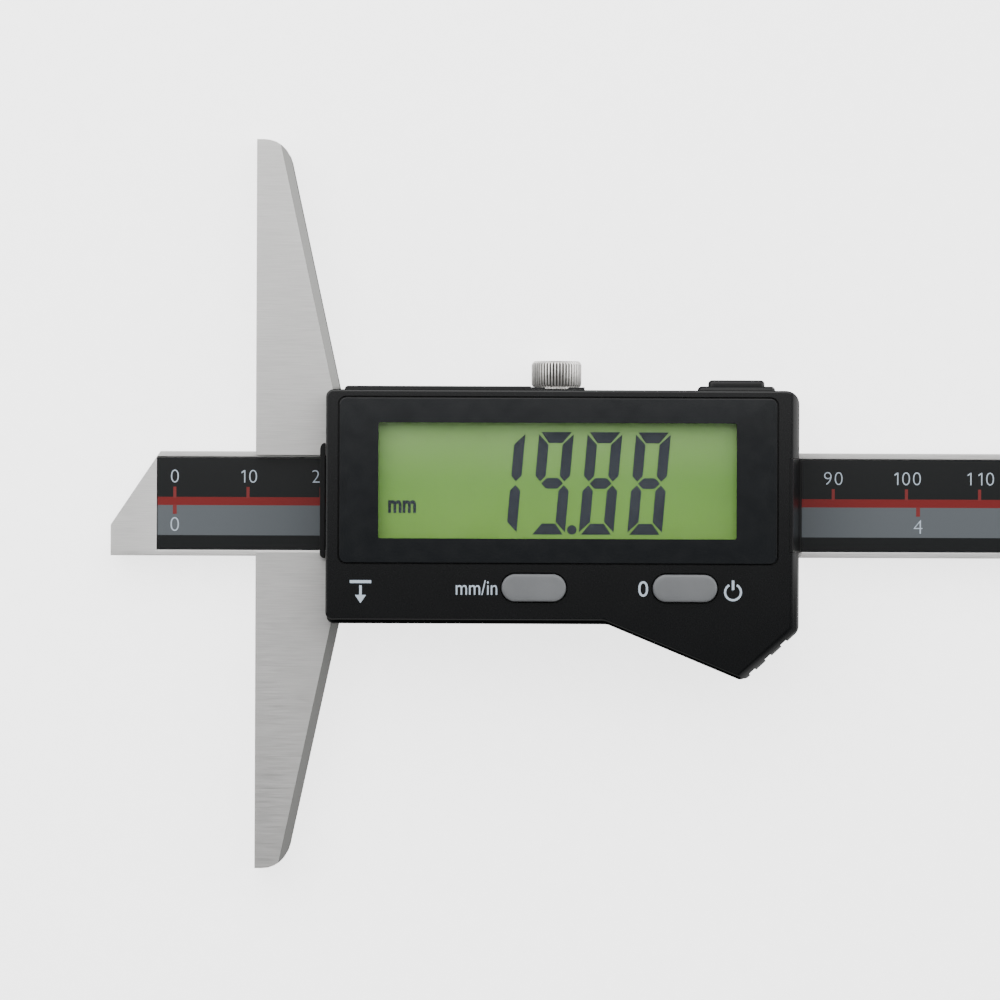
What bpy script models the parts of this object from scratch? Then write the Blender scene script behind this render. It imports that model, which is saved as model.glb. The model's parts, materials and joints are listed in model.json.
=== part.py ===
"""Electronic depth gauge: a T-shaped steel slider body with a display housing, and its sliding beam.

The gauge lies on its back with the display up. +X runs along the beam from its measuring tip to its far
end, +Y points to the lock screw and +Z out of the display. Lengths are metres. The origin is under the
middle of the whole gauge, on the plane of the slider body's flat back. A size called REACH or AT is counted
along X from the measuring face of the base, and a SETBACK is counted back from the housing's right side.
Y is counted from the beam's centreline.
"""

import math

import bmesh
import bpy
from mathutils import Matrix, Vector

# Fits between pieces
SEAT_GAP = 0.0003
SLIDE_GAP = 0.0001
SEAL_GAP = 0.00005
OVERRUN = 0.001
WELD = 0.000001
SMALL_STEPS = 16
SCREW_STEPS = 24
ROUND_STEPS = 32
FINE_STEPS = 48
ARC_STEP_DEG = 15
NEARLY_FLAT_DEG = 0.5

# Beam, drawn out to the reading on the display
BEAM_LENGTH = 0.232
BEAM_WIDTH = 0.0143
BEAM_THICK = 0.0035
TIP_FLAT = 0.0042
TIP_SLANT = 0.0068
READING = 0.01988
RECESS_DEPTH = 0.0012
RECESS_START = 0.0063
STRIP_WIDTH = 0.0125
STRIP_THICK = 0.0007
LABEL_THICK = 0.0002
END_STOP_LENGTH = 0.005
END_STOP_THICK = 0.0012
END_STOP_SETBACK = 0.0005
END_SCREW_SPREAD = 0.01
END_SCREW_RADIUS = 0.0007
END_SCREW_HEAD_RADIUS = 0.0013
END_SCREW_HEAD_HEIGHT = 0.0007
END_SCREW_DEPTH = 0.0024

# Slider body: the base and the frame are one ground T
BASE_LENGTH = 0.0995
BASE_END_DEPTH = 0.0041
BASE_SLOPE_DEG = 12.2
BASE_CORNER_RADIUS = 0.0038
BASE_BEVEL = 0.001
BODY_THICK = 0.007
BACK_WALL = 0.0017
FRAME_WIDTH = 0.024
FRAME_SETBACK = 0.00045
FRAME_FILLET = 0.0005
LIP_COVER = 0.0005

# Gib strip and its two set screws
GIB_THICK = 0.0009
GIB_AT = 0.016
GIB_END_SETBACK = 0.00585
GIB_SCREW_RADIUS = 0.00095
GIB_SCREW_LENGTH = 0.003
GIB_SCREW_SETBACK = 0.008
HEX_SHARE = 0.55
HEX_DEPTH = 0.0008

# Lock screw
LOCK_AT = 0.041
LOCK_THREAD_RADIUS = 0.0015
LOCK_PAD_LENGTH = 0.001
LOCK_NECK_RADIUS = 0.00305
LOCK_NECK_LENGTH = 0.0003
LOCK_POCKET_DEPTH = 0.0004
LOCK_HEAD_RADIUS = 0.00341
LOCK_HEAD_LENGTH = 0.0035
LOCK_HEAD_CHAMFER = 0.0004
KNURL_COUNT = 48
KNURL_DEPTH = 0.00014

# Housing outline, seen from the front
HOUSING_AT = 0.00975
HOUSING_REACH = 0.07385
HOUSING_TOP = 0.01553
HOUSING_BOTTOM = 0.01628
HUMP_LENGTH = 0.01835
HUMP_TIP_SETBACK = 0.0075
HUMP_TIP_DROP = 0.0239
RIB_TOP_DROP = 0.01696
CORNER_RADIUS = 0.001
TOP_RIGHT_RADIUS = 0.0019
RIB_TOP_RADIUS = 0.0016
HUMP_RADIUS = 0.002
RIM_AT = 0.0121
RIM_REACH = 0.0442
RIM_HEIGHT = 0.0006
COVER_BOTTOM_INSET = 0.0006
COVER_SLOPE_INSET = 0.00035
RIB_NOTCH_COUNT = 3
RIB_NOTCH_WIDTH = 0.0011
RIB_NOTCH_DEPTH = 0.00027
RIB_NOTCH_PITCH = 0.00286
RIB_NOTCH_FIRST = 0.0026

# Housing heights, walls and edges
SHELL_LIFT = 0.0015
SHELL_FLOOR = 0.001
SHELL_EDGE = 0.0003
SEAL_THICK = 0.0005
SEAL_INSET = 0.0003
SEAL_WIDTH = 0.0013
SEAL_RIGHT_WIDTH = 0.0019
COVER_FRONT = 0.0155
COVER_WALL = 0.0016
COVER_RIGHT_WALL = 0.0019
COVER_EDGE = 0.0013
COVER_FINE_EDGE_SHARE = 0.25
COVER_FULL_EDGE_SHARE = 0.6
COVER_EDGE_SEGMENTS = 3

# Window pane and display
PANE_END_SETBACK = 0.00305
PANE_HEIGHT = 0.0223
PANE_AT = 0.0116
PANE_TOP = 0.0144
PANE_THICK = 0.001
PANE_RADIUS = 0.0009
PANE_GROOVE = 0.00025
WINDOW_END_SETBACK = 0.0085
WINDOW_HEIGHT = 0.0156
WINDOW_AT = 0.01685
WINDOW_TOP = 0.011
WINDOW_MARGIN = 0.0005
LCD_THICK = 0.0013
LCD_SIDE_MARGIN = 0.0017
LCD_EDGE_MARGIN = 0.0024
LCD_STAND = 0.0009
ELASTOMER_WIDTH = 0.0012

# Circuit boards
BOARD_THICK = 0.001
BOARD_STAND = 0.0009
BOARD_HEIGHT = 0.0268
SENSOR_THICK = 0.0008
SENSOR_AT = 0.018
SENSOR_END_SETBACK = 0.00785
SENSOR_LIFT = 0.0009
LINK_END_SETBACK = 0.00935
LINK_LENGTH = 0.007
LINK_WIDTH = 0.0026
CHIP_THICK = 0.0008
CHIP_SIDE = 0.007
CHIP_AT = 0.027
RADIO_LENGTH = 0.01
RADIO_AT = 0.042
CHIP_RISE = 0.0025

# Buttons and keypad
BUTTON_LENGTH = 0.0087
BUTTON_WIDTH = 0.00368
BUTTON_PROUD = 0.0008
BUTTON_TRAVEL = 0.0005
BUTTON_FLANGE = 0.0005
BUTTON_FLANGE_THICK = 0.0008
BUTTON_EDGE = 0.00035
MODE_SHARE = 0.4398
ZERO_SHARE = 0.759
BUTTON_DROP = 0.01125
KEYPAD_THICK = 0.0005
KEYPAD_MARGIN = 0.0026
KEYPAD_WIDTH = 0.0048
DOME_RADIUS = 0.0014

# Housing screws, driven from the back
SCREW_RADIUS = 0.0009
SCREW_HEAD_RADIUS = 0.0018
SCREW_HEAD_HEIGHT = 0.0009
SCREW_HOLE_GAP = 0.0002
SCREW_BITE = 0.0021
SCREW_SPREAD = 0.0099
PILLAR_RADIUS = 0.0017
SCREW_LEFT_AT = 0.0132
SCREW_RIGHT_SETBACK = 0.00395
SCREW_LOW_LEFT_SHARE = 0.2223
SCREW_LOW_RIGHT_SHARE = 0.6014

# Battery and its coin-slotted cap
BATTERY_RADIUS = 0.0058
BATTERY_HEIGHT = 0.0042
BATTERY_BUTTON_RADIUS = 0.0042
BATTERY_BUTTON_HEIGHT = 0.0003
BATTERY_SETBACK = 0.00905
BATTERY_DROP = 0.0153
BATTERY_BORE_GAP = 0.0002
SLEEVE_WALL = 0.0009
CAP_THICK = 0.0018
CAP_GAP = 0.00015
COIN_SLOT_LENGTH = 0.0075
COIN_SLOT_WIDTH = 0.0013
COIN_SLOT_DEPTH = 0.0006
O_RING_SECTION = 0.0004
O_RING_SQUEEZE_GAP = 0.00005
CONTACT_THICK = 0.0002
CONTACT_WIDTH = 0.0024
CONTACT_REACH = 0.0022
CONTACT_TURN_DEG = 138.75

# Data port and its rubber plug
PORT_SETBACK = 0.00845
PORT_HEIGHT_AT = 0.0107
PORT_LENGTH = 0.008
PORT_HEIGHT = 0.0024
PLUG_FLANGE_LENGTH = 0.0105
PLUG_FLANGE_HEIGHT = 0.0032
PLUG_FLANGE_THICK = 0.00052
PLUG_STEP_LENGTH = 0.00735
PLUG_STEP_HEIGHT = 0.0022
PLUG_STEP_THICK = 0.00085
PLUG_EDGE = 0.0003
SOCKET_DEPTH = 0.0016

# Wipers that close the slot's two ends
WIPER_SHORT_SIDE = 0.0074
WIPER_LONG_SIDE = 0.0083
WIPER_FIN = 0.0007
WIPER_STANDOFF = 0.00025
WIPER_FIN_HEIGHT = 0.0018
WIPER_FOOT_LENGTH = 0.0022
WIPER_FOOT_HEIGHT = 0.0010
RIGHT_WIPER_WIDTH = 0.0127
RIGHT_WIPER_PROUD = 0.00071
RIGHT_WIPER_LIP = 0.0009
WIPER_NOTCH_DEPTH = 0.00135

# Levels along Z, from the back up
BEAM_LOW = BACK_WALL + SLIDE_GAP
BEAM_HIGH = BEAM_LOW + BEAM_THICK
LIP_LOW = BEAM_HIGH + SLIDE_GAP
STRIP_LOW = BEAM_HIGH - RECESS_DEPTH + SLIDE_GAP
LABEL_LOW = STRIP_LOW + STRIP_THICK + SLIDE_GAP
LABEL_HIGH = LABEL_LOW + LABEL_THICK
SHELL_UNDERSIDE = BODY_THICK + SEAT_GAP
SHELL_HIGH = SHELL_UNDERSIDE + SHELL_FLOOR
COVER_LOW = SHELL_HIGH + SEAL_THICK + 2 * SEAL_GAP
BOARD_LOW = SHELL_HIGH + BOARD_STAND + SEAT_GAP
BOARD_HIGH = BOARD_LOW + BOARD_THICK
STACK_LOW = BOARD_HIGH + SEAT_GAP
LCD_LOW = STACK_LOW + LCD_STAND + SEAT_GAP
LCD_HIGH = LCD_LOW + LCD_THICK
COVER_CEILING = LCD_HIGH + SEAT_GAP
PANE_LOW = COVER_FRONT - SEAL_GAP - PANE_THICK
PANE_SEAT = PANE_LOW - SEAL_GAP
BATTERY_LOW = SHELL_LIFT + CAP_THICK + CONTACT_THICK
BATTERY_HIGH = BATTERY_LOW + BATTERY_HEIGHT

# Places along X that follow the housing's right side
HOUSING_LENGTH = HOUSING_REACH - HOUSING_AT
FRAME_REACH = HOUSING_REACH - FRAME_SETBACK
GIB_LENGTH = HOUSING_REACH - GIB_END_SETBACK - GIB_AT
HUMP_TIP_AT = HOUSING_REACH - HUMP_TIP_SETBACK
HUMP_AT = HUMP_TIP_AT - HUMP_LENGTH
PANE_LENGTH = HOUSING_REACH - PANE_END_SETBACK - PANE_AT
WINDOW_LENGTH = HOUSING_REACH - WINDOW_END_SETBACK - WINDOW_AT
SENSOR_LENGTH = HOUSING_REACH - SENSOR_END_SETBACK - SENSOR_AT
LINK_AT = HOUSING_REACH - LINK_END_SETBACK - LINK_LENGTH
MODE_AT = HOUSING_AT + HOUSING_LENGTH * MODE_SHARE
ZERO_AT = HOUSING_AT + HOUSING_LENGTH * ZERO_SHARE
SCREW_RIGHT_AT = HOUSING_REACH - SCREW_RIGHT_SETBACK
SCREW_LOW_LEFT_AT = HOUSING_AT + HOUSING_LENGTH * SCREW_LOW_LEFT_SHARE
SCREW_LOW_RIGHT_AT = HOUSING_AT + HOUSING_LENGTH * SCREW_LOW_RIGHT_SHARE
BATTERY_AT = HOUSING_REACH - BATTERY_SETBACK
PORT_AT = HOUSING_REACH - PORT_SETBACK
RIGHT_WIPER_REACH = HOUSING_REACH + RIGHT_WIPER_PROUD
WIPER_NOTCH_AT = HOUSING_REACH - WIPER_NOTCH_DEPTH

# Places along X, counted from the base's face, and across Y
FACE_X = 0.0
TIP_X = FACE_X - READING
FAR_X = TIP_X + BEAM_LENGTH
CENTRE_X = (TIP_X + FAR_X) / 2
CHANNEL_HALF = BEAM_WIDTH / 2 + SLIDE_GAP
SLOT_HALF = BEAM_WIDTH / 2 - LIP_COVER
STRIP_HALF = STRIP_WIDTH / 2
GIB_LOW_Y = BEAM_WIDTH / 2 + SLIDE_GAP
GIB_HIGH_Y = GIB_LOW_Y + GIB_THICK
GIB_WALL_Y = GIB_HIGH_Y + SLIDE_GAP
BEAM_MIDDLE_Z = (BEAM_LOW + BEAM_HIGH) / 2
BATTERY_BORE = BATTERY_RADIUS + BATTERY_BORE_GAP
SLEEVE_RADIUS = BATTERY_BORE + SLEEVE_WALL
WINDOW_LOW = WINDOW_TOP - WINDOW_HEIGHT
LCD_TOP = WINDOW_TOP + LCD_EDGE_MARGIN
LCD_BOTTOM = WINDOW_LOW - LCD_EDGE_MARGIN
STOP_LOW_X = FAR_X - END_STOP_SETBACK - END_STOP_LENGTH


def clear_scene():
    for obj in list(bpy.data.objects):
        bpy.data.objects.remove(obj)


def new_collection(name):
    collection = bpy.data.collections.new(name)
    bpy.context.scene.collection.children.link(collection)
    return collection


UPRIGHT = Matrix.Rotation(-math.pi / 2, 4, "X")

clear_scene()
PARTS = new_collection("depth_gauge")
CUTTERS = new_collection("cutters")
CUTTERS.hide_render = True


def material(name, colour, roughness, metallic=0.0):
    made = bpy.data.materials.new(name)
    made.use_nodes = True
    shader = made.node_tree.nodes["Principled BSDF"]
    shader.inputs["Base Color"].default_value = (*colour, 1.0)
    shader.inputs["Roughness"].default_value = roughness
    shader.inputs["Metallic"].default_value = metallic
    return made


def ground_steel():
    return material("ground_steel", (0.49, 0.48, 0.47), 0.35, 1.0)


def bright_steel():
    return material("bright_steel", (0.6, 0.6, 0.6), 0.2, 1.0)


def black_plastic():
    return material("black_plastic", (0.022, 0.024, 0.026), 0.35)


def black_rubber():
    return material("black_rubber", (0.02, 0.021, 0.022), 0.65)


def grey_rubber():
    return material("grey_rubber", (0.28, 0.29, 0.3), 0.6)


def brass():
    return material("brass", (0.62, 0.45, 0.16), 0.3, 1.0)


def board_green():
    return material("board_green", (0.02, 0.13, 0.05), 0.45)


def chip_black():
    return material("chip_black", (0.015, 0.015, 0.016), 0.5)


def lcd_green():
    return material("lcd_green", (0.23, 0.39, 0.13), 0.3)


def backlight_white():
    return material("backlight_white", (0.75, 0.78, 0.7), 0.4)


def pane_black():
    return material("pane_black", (0.02, 0.022, 0.024), 0.08)


def label_print():
    return material("label_print", (0.025, 0.027, 0.029), 0.4)


def gib_bronze():
    return material("gib_bronze", (0.5, 0.33, 0.16), 0.35, 1.0)


def contact_nickel():
    return material("contact_nickel", (0.66, 0.62, 0.55), 0.25, 1.0)


def new_object(name, mesh, home):
    obj = bpy.data.objects.new(name, mesh)
    home.objects.link(obj)
    if home is CUTTERS:
        obj.hide_render = True
        obj.display_type = "WIRE"
    return obj


def set_origin(obj, place):
    """Moves an object's origin to a place and leaves its shape where it is."""
    shift = obj.matrix_world.inverted() @ Vector(place)
    obj.data.transform(Matrix.Translation(-shift))
    obj.matrix_world = obj.matrix_world @ Matrix.Translation(shift)


def finish(obj, made, smooth_deg=30):
    """Gives a part its material and smooth shading between its sharp edges."""
    obj.data.materials.clear()
    obj.data.materials.append(made)
    obj.data.shade_smooth()
    obj.data.set_sharp_from_angle(angle=math.radians(smooth_deg))
    return obj


def box(name, low, high, home=PARTS):
    """A box between two corners, with its origin in its middle."""
    low, high = Vector(low), Vector(high)
    mesh = bpy.data.meshes.new(name)
    shape = bmesh.new()
    bmesh.ops.create_cube(shape, size=1.0)
    bmesh.ops.scale(shape, vec=high - low, verts=shape.verts)
    shape.to_mesh(mesh)
    shape.free()
    obj = new_object(name, mesh, home)
    obj.location = (low + high) / 2
    return obj


def arc_points(before, corner, after, radius):
    """The points that round one corner of an outline."""
    before, corner, after = Vector(before), Vector(corner), Vector(after)
    to_before = (before - corner).normalized()
    to_after = (after - corner).normalized()
    half = to_before.angle(to_after) / 2
    if radius == 0 or half > math.radians(90 - NEARLY_FLAT_DEG):
        return [corner]
    tangent = radius / math.tan(half)
    centre = corner + (to_before + to_after).normalized() * (radius / math.sin(half))
    start = corner + to_before * tangent - centre
    end = corner + to_after * tangent - centre
    sweep = start.angle_signed(end)
    steps = max(2, math.ceil(abs(math.degrees(sweep)) / ARC_STEP_DEG))
    return [centre + Matrix.Rotation(-sweep * i / steps, 2) @ start for i in range(steps + 1)]


def rounded(corners, radii):
    """An outline through the corners, each rounded by its own radius."""
    count = len(corners)
    outline = []
    for i in range(count):
        outline += arc_points(corners[i - 1], corners[i], corners[(i + 1) % count], radii[i])
    return outline


def rounded_box(low, high, radius):
    corners = [(low[0], low[1]), (high[0], low[1]), (high[0], high[1]), (low[0], high[1])]
    return rounded(corners, [radius] * 4)


def inset(corners, distances):
    """The corners of an anticlockwise outline with each side moved in, side i running from corner i."""
    count = len(corners)
    lines = []
    for i in range(count):
        start, end = Vector(corners[i]), Vector(corners[(i + 1) % count])
        along = (end - start).normalized()
        inward = Vector((-along.y, along.x))
        lines.append((start + inward * distances[i], along))
    moved = []
    for i in range(count):
        (a, along_a), (b, along_b) = lines[i - 1], lines[i]
        share = (b - a).cross(along_b) / along_a.cross(along_b)
        moved.append(a + along_a * share)
    return moved


def as_mesh(obj, home):
    """Turns a curve object into a mesh object of the same name, with its caps welded and its flats whole."""
    graph = bpy.context.evaluated_depsgraph_get()
    mesh = bpy.data.meshes.new_from_object(obj.evaluated_get(graph))
    shape = bmesh.new()
    shape.from_mesh(mesh)
    bmesh.ops.remove_doubles(shape, verts=shape.verts, dist=WELD)
    flat = math.radians(NEARLY_FLAT_DEG)
    bmesh.ops.dissolve_limit(shape, angle_limit=flat, verts=shape.verts, edges=shape.edges)
    bmesh.ops.recalc_face_normals(shape, faces=shape.faces)
    shape.to_mesh(mesh)
    shape.free()
    name, place = obj.name, obj.matrix_world.copy()
    bpy.data.objects.remove(obj)
    made = new_object(name, mesh, home)
    made.matrix_world = place
    return made


def plate(name, outlines, low, high, home=PARTS, turn=None):
    """Flat outlines, the first one outside and the others holes, as thick as low to high.

    turn, a rotation, sets the drawing plane upright: the outline then lies across its own Z."""
    curve = bpy.data.curves.new(name, "CURVE")
    curve.dimensions = "2D"
    curve.fill_mode = "BOTH"
    curve.extrude = (high - low) / 2
    for outline in outlines:
        spline = curve.splines.new("POLY")
        spline.points.add(len(outline) - 1)
        for point, place in zip(spline.points, outline):
            point.co = (place[0], place[1], 0, 1)
        spline.use_cyclic_u = True
    obj = new_object(name, curve, home)
    turn = turn or Matrix.Identity(4)
    obj.matrix_world = turn @ Matrix.Translation((0, 0, (low + high) / 2))
    bpy.context.view_layer.update()
    return as_mesh(obj, home)


def turned(name, profile, place, axis="Z", steps=ROUND_STEPS, home=PARTS):
    """A turned shape: radius and height pairs, from the top down, spun about the axis through the place."""
    mesh = bpy.data.meshes.new(name)
    edges = [(i, i + 1) for i in range(len(profile) - 1)]
    mesh.from_pydata([(radius, 0, height) for radius, height in profile], edges, [])
    obj = new_object(name, mesh, home)
    obj.location = place
    if axis == "Y":
        obj.rotation_euler.x = -math.pi / 2
    screw = obj.modifiers.new("turn", "SCREW")
    screw.steps = steps
    screw.render_steps = steps
    screw.use_merge_vertices = True
    screw.merge_threshold = WELD
    return obj


def rod(name, radius, low, high, place, axis="Z", steps=ROUND_STEPS, home=PARTS):
    """A plain cylinder from low to high along its axis."""
    return turned(name, [(0, high), (radius, high), (radius, low), (0, low)], place, axis, steps, home)


def boolean(obj, other, operation="DIFFERENCE"):
    made = obj.modifiers.new(other.name, "BOOLEAN")
    made.operation = operation
    made.object = other
    made.solver = "EXACT"
    return obj


def soften(obj, width, segments=1, angle_deg=40):
    made = obj.modifiers.new("edge", "BEVEL")
    made.width = width
    made.segments = segments
    made.limit_method = "ANGLE"
    made.angle_limit = math.radians(angle_deg)
    return obj


def weigh_edges(obj, weight_at, width, segments):
    """Bevels edges by a weight, which a function of each edge's two end points gives."""
    mesh = obj.data
    weights = mesh.attributes.new("bevel_weight_edge", "FLOAT", "EDGE")
    for edge in mesh.edges:
        ends = [mesh.vertices[i].co for i in edge.vertices]
        weights.data[edge.index].value = weight_at(ends[0], ends[1])
    made = obj.modifiers.new("edge", "BEVEL")
    made.width = width
    made.segments = segments
    made.limit_method = "WEIGHT"
    return obj


def hex_cutter(name, radius, depth, place, axis="Z"):
    """The key's socket in a screw's end, sunk to the depth from the place."""
    return rod(name, radius, -depth, OVERRUN, place, axis, steps=6, home=CUTTERS)


def base_depth_at(y):
    """The base's depth behind its measuring face, at a distance from the centreline."""
    return BASE_END_DEPTH + (BASE_LENGTH / 2 - abs(y)) * math.tan(math.radians(BASE_SLOPE_DEG))


def body_outline():
    half, frame_half = BASE_LENGTH / 2, FRAME_WIDTH / 2
    root = FACE_X + base_depth_at(frame_half)
    far = FACE_X + FRAME_REACH
    end = FACE_X + BASE_END_DEPTH
    lower = [(FACE_X, -half), (end, -half), (root, -frame_half), (far, -frame_half)]
    upper = [(x, -y) for x, y in reversed(lower)]
    radii = [0, BASE_CORNER_RADIUS, FRAME_FILLET, 0]
    return rounded(lower + upper, radii + radii[::-1])


def slope_cutter(side):
    """A bar with a slanted side, which bevels one of the base's two sloping edges.

    The slope ends in a round corner, so the bevel fades out there."""
    slope, half = math.radians(BASE_SLOPE_DEG), BASE_LENGTH / 2
    near = FRAME_WIDTH / 2 + FRAME_FILLET
    middle_y = side * (near + half) / 2
    reach = (half - near) / math.cos(slope) / 2
    outward = (math.cos(slope), side * math.sin(slope), 0)
    along = (side * math.sin(slope), -math.cos(slope), 0)
    place = (FACE_X + base_depth_at(middle_y), middle_y, BODY_THICK)
    turn = Matrix.Translation(place) @ Matrix((outward, (0, 0, 1), along)).transposed().to_4x4()
    far = BASE_BEVEL + OVERRUN
    outline = [(-far, OVERRUN), (OVERRUN, -far), (OVERRUN, OVERRUN)]
    return plate("slope_bevel", [outline], -reach, reach, CUTTERS, turn)


def screw_places():
    """Where the four housing screws stand, as X and Y."""
    return [
        (FACE_X + SCREW_LEFT_AT, SCREW_SPREAD),
        (FACE_X + SCREW_RIGHT_AT, SCREW_SPREAD),
        (FACE_X + SCREW_LOW_LEFT_AT, -SCREW_SPREAD),
        (FACE_X + SCREW_LOW_RIGHT_AT, -SCREW_SPREAD),
    ]


def gib_screw_places():
    start = FACE_X + GIB_AT + GIB_SCREW_SETBACK
    return [start, start + GIB_LENGTH - 2 * GIB_SCREW_SETBACK]


def make_slider_body():
    body = plate("slider_body", [body_outline()], 0, BODY_THICK)
    start, end = FACE_X - OVERRUN, FACE_X + FRAME_REACH + OVERRUN
    cuts = [
        slope_cutter(1),
        slope_cutter(-1),
        box("beam_channel", (start, -CHANNEL_HALF, BACK_WALL), (end, CHANNEL_HALF, LIP_LOW), CUTTERS),
        box("slot", (start, -SLOT_HALF, BEAM_MIDDLE_Z), (end, SLOT_HALF, BODY_THICK + OVERRUN), CUTTERS),
        box(
            "gib_pocket",
            (FACE_X + GIB_AT - SEAT_GAP, 0, BACK_WALL + SLIDE_GAP),
            (FACE_X + GIB_AT + GIB_LENGTH + SEAT_GAP, GIB_WALL_Y, LIP_LOW - SLIDE_GAP),
            CUTTERS,
        ),
        rod(
            "battery_scallop",
            SLEEVE_RADIUS + SEAT_GAP,
            -OVERRUN,
            BODY_THICK + OVERRUN,
            (FACE_X + BATTERY_AT, -BATTERY_DROP, 0),
            home=CUTTERS,
        ),
        rod(
            "lock_bore",
            LOCK_THREAD_RADIUS + SLIDE_GAP,
            GIB_HIGH_Y - OVERRUN,
            FRAME_WIDTH / 2 + OVERRUN,
            (FACE_X + LOCK_AT, 0, BEAM_MIDDLE_Z),
            "Y",
            home=CUTTERS,
        ),
    ]
    for i, x in enumerate(gib_screw_places()):
        radius = GIB_SCREW_RADIUS + SLIDE_GAP
        far = FRAME_WIDTH / 2 + OVERRUN
        name = f"gib_screw_bore_{i}"
        cuts.append(
            rod(name, radius, GIB_HIGH_Y - OVERRUN, far, (x, 0, BEAM_MIDDLE_Z), "Y", SMALL_STEPS, CUTTERS)
        )
    for i, (x, y) in enumerate(screw_places()):
        hole = SCREW_RADIUS + SCREW_HOLE_GAP
        head = SCREW_HEAD_RADIUS + SCREW_HOLE_GAP
        profile = [
            (0, BODY_THICK + OVERRUN),
            (hole, BODY_THICK + OVERRUN),
            (hole, SCREW_HEAD_HEIGHT),
            (head, 0),
            (head, -OVERRUN),
            (0, -OVERRUN),
        ]
        cuts.append(turned(f"countersink_{i}", profile, (x, y, 0), steps=SCREW_STEPS, home=CUTTERS))
    for cut in cuts:
        boolean(body, cut)
    return finish(body, ground_steel())


def make_beam():
    half = BEAM_WIDTH / 2
    slant = [(TIP_X + TIP_SLANT, half), (TIP_X, TIP_FLAT - half)]
    corners = [(TIP_X, -half), (FAR_X, -half), (FAR_X, half)] + slant
    beam = plate("beam", [corners], BEAM_LOW, BEAM_HIGH)
    recess_end = STOP_LOW_X - SEAT_GAP
    recess_half = STRIP_HALF + SLIDE_GAP
    recess = box(
        "strip_recess",
        (TIP_X + RECESS_START, -recess_half, BEAM_HIGH - RECESS_DEPTH),
        (recess_end, recess_half, BEAM_HIGH + OVERRUN),
        CUTTERS,
    )
    boolean(beam, recess)
    for i, y in enumerate(end_screw_rows()):
        depth = BEAM_HIGH - END_SCREW_DEPTH - SLIDE_GAP
        name, place = f"end_screw_hole_{i}", (end_screw_x(), y, 0)
        radius = END_SCREW_RADIUS + SLIDE_GAP
        high = BEAM_HIGH + OVERRUN
        boolean(beam, rod(name, radius, depth, high, place, steps=SMALL_STEPS, home=CUTTERS))
    return finish(beam, ground_steel())


def end_screw_x():
    return STOP_LOW_X + END_STOP_LENGTH / 2


def end_screw_rows():
    return [END_SCREW_SPREAD / 2, -END_SCREW_SPREAD / 2]


def make_scale_strip():
    start, end = TIP_X + RECESS_START + SLIDE_GAP, STOP_LOW_X - 2 * SEAT_GAP
    high = STRIP_LOW + STRIP_THICK
    strip = box("scale_strip", (start, -STRIP_HALF, STRIP_LOW), (end, STRIP_HALF, high))
    finish(strip, board_green())
    label = box("scale_label", (start, -STRIP_HALF, LABEL_LOW), (end, STRIP_HALF, LABEL_HIGH))
    finish(label, label_print())


def make_end_stop():
    low = BEAM_HIGH + SLIDE_GAP
    high = low + END_STOP_THICK
    half = BEAM_WIDTH / 2
    stop = box("end_stop", (STOP_LOW_X, -half, low), (STOP_LOW_X + END_STOP_LENGTH, half, high))
    soften(stop, SHELL_EDGE)
    for i, y in enumerate(end_screw_rows()):
        place = (end_screw_x(), y, 0)
        radius = END_SCREW_RADIUS + SLIDE_GAP
        name = f"stop_hole_{i}"
        boolean(stop, rod(name, radius, 0, high + OVERRUN, place, steps=SMALL_STEPS, home=CUTTERS))
        seat = high + SLIDE_GAP
        profile = [
            (0, seat + END_SCREW_HEAD_HEIGHT),
            (END_SCREW_HEAD_RADIUS, seat + END_SCREW_HEAD_HEIGHT),
            (END_SCREW_HEAD_RADIUS, seat),
            (END_SCREW_RADIUS, seat),
            (END_SCREW_RADIUS, BEAM_HIGH - END_SCREW_DEPTH),
            (0, BEAM_HIGH - END_SCREW_DEPTH),
        ]
        screw = turned(f"end_stop_screw_{i + 1}", profile, place, steps=SMALL_STEPS)
        key = (end_screw_x(), y, seat + END_SCREW_HEAD_HEIGHT)
        depth = END_SCREW_HEAD_HEIGHT / 2
        boolean(screw, hex_cutter(f"end_screw_key_{i}", END_SCREW_HEAD_RADIUS * HEX_SHARE, depth, key))
        finish(screw, bright_steel())
    finish(stop, ground_steel())


def make_gib():
    start = FACE_X + GIB_AT
    low = (start, GIB_LOW_Y, BACK_WALL + 2 * SLIDE_GAP)
    high = (start + GIB_LENGTH, GIB_HIGH_Y, LIP_LOW - 2 * SLIDE_GAP)
    finish(box("gib_strip", low, high), gib_bronze())
    tip = GIB_WALL_Y
    for side, x in zip(("left", "right"), gib_screw_places()):
        place = (x, 0, BEAM_MIDDLE_Z)
        end = tip + GIB_SCREW_LENGTH
        screw = rod(f"gib_screw_{side}", GIB_SCREW_RADIUS, tip, end, place, "Y", SMALL_STEPS)
        key = (x, end, BEAM_MIDDLE_Z)
        radius = GIB_SCREW_RADIUS * HEX_SHARE
        boolean(screw, hex_cutter(f"gib_key_{side}", radius, HEX_DEPTH, key, "Y"))
        finish(screw, bright_steel())


def make_lock_pad():
    place = (FACE_X + LOCK_AT, GIB_WALL_Y, BEAM_MIDDLE_Z)
    pad = rod("lock_pad", LOCK_THREAD_RADIUS - SLIDE_GAP, 0, LOCK_PAD_LENGTH, place, "Y", SCREW_STEPS)
    finish(pad, brass())


def lock_head_y():
    """The inner end of the knurled head, level with the rim's edge."""
    return HOUSING_TOP + RIM_HEIGHT - LOCK_POCKET_DEPTH + SLIDE_GAP + LOCK_NECK_LENGTH


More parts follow.
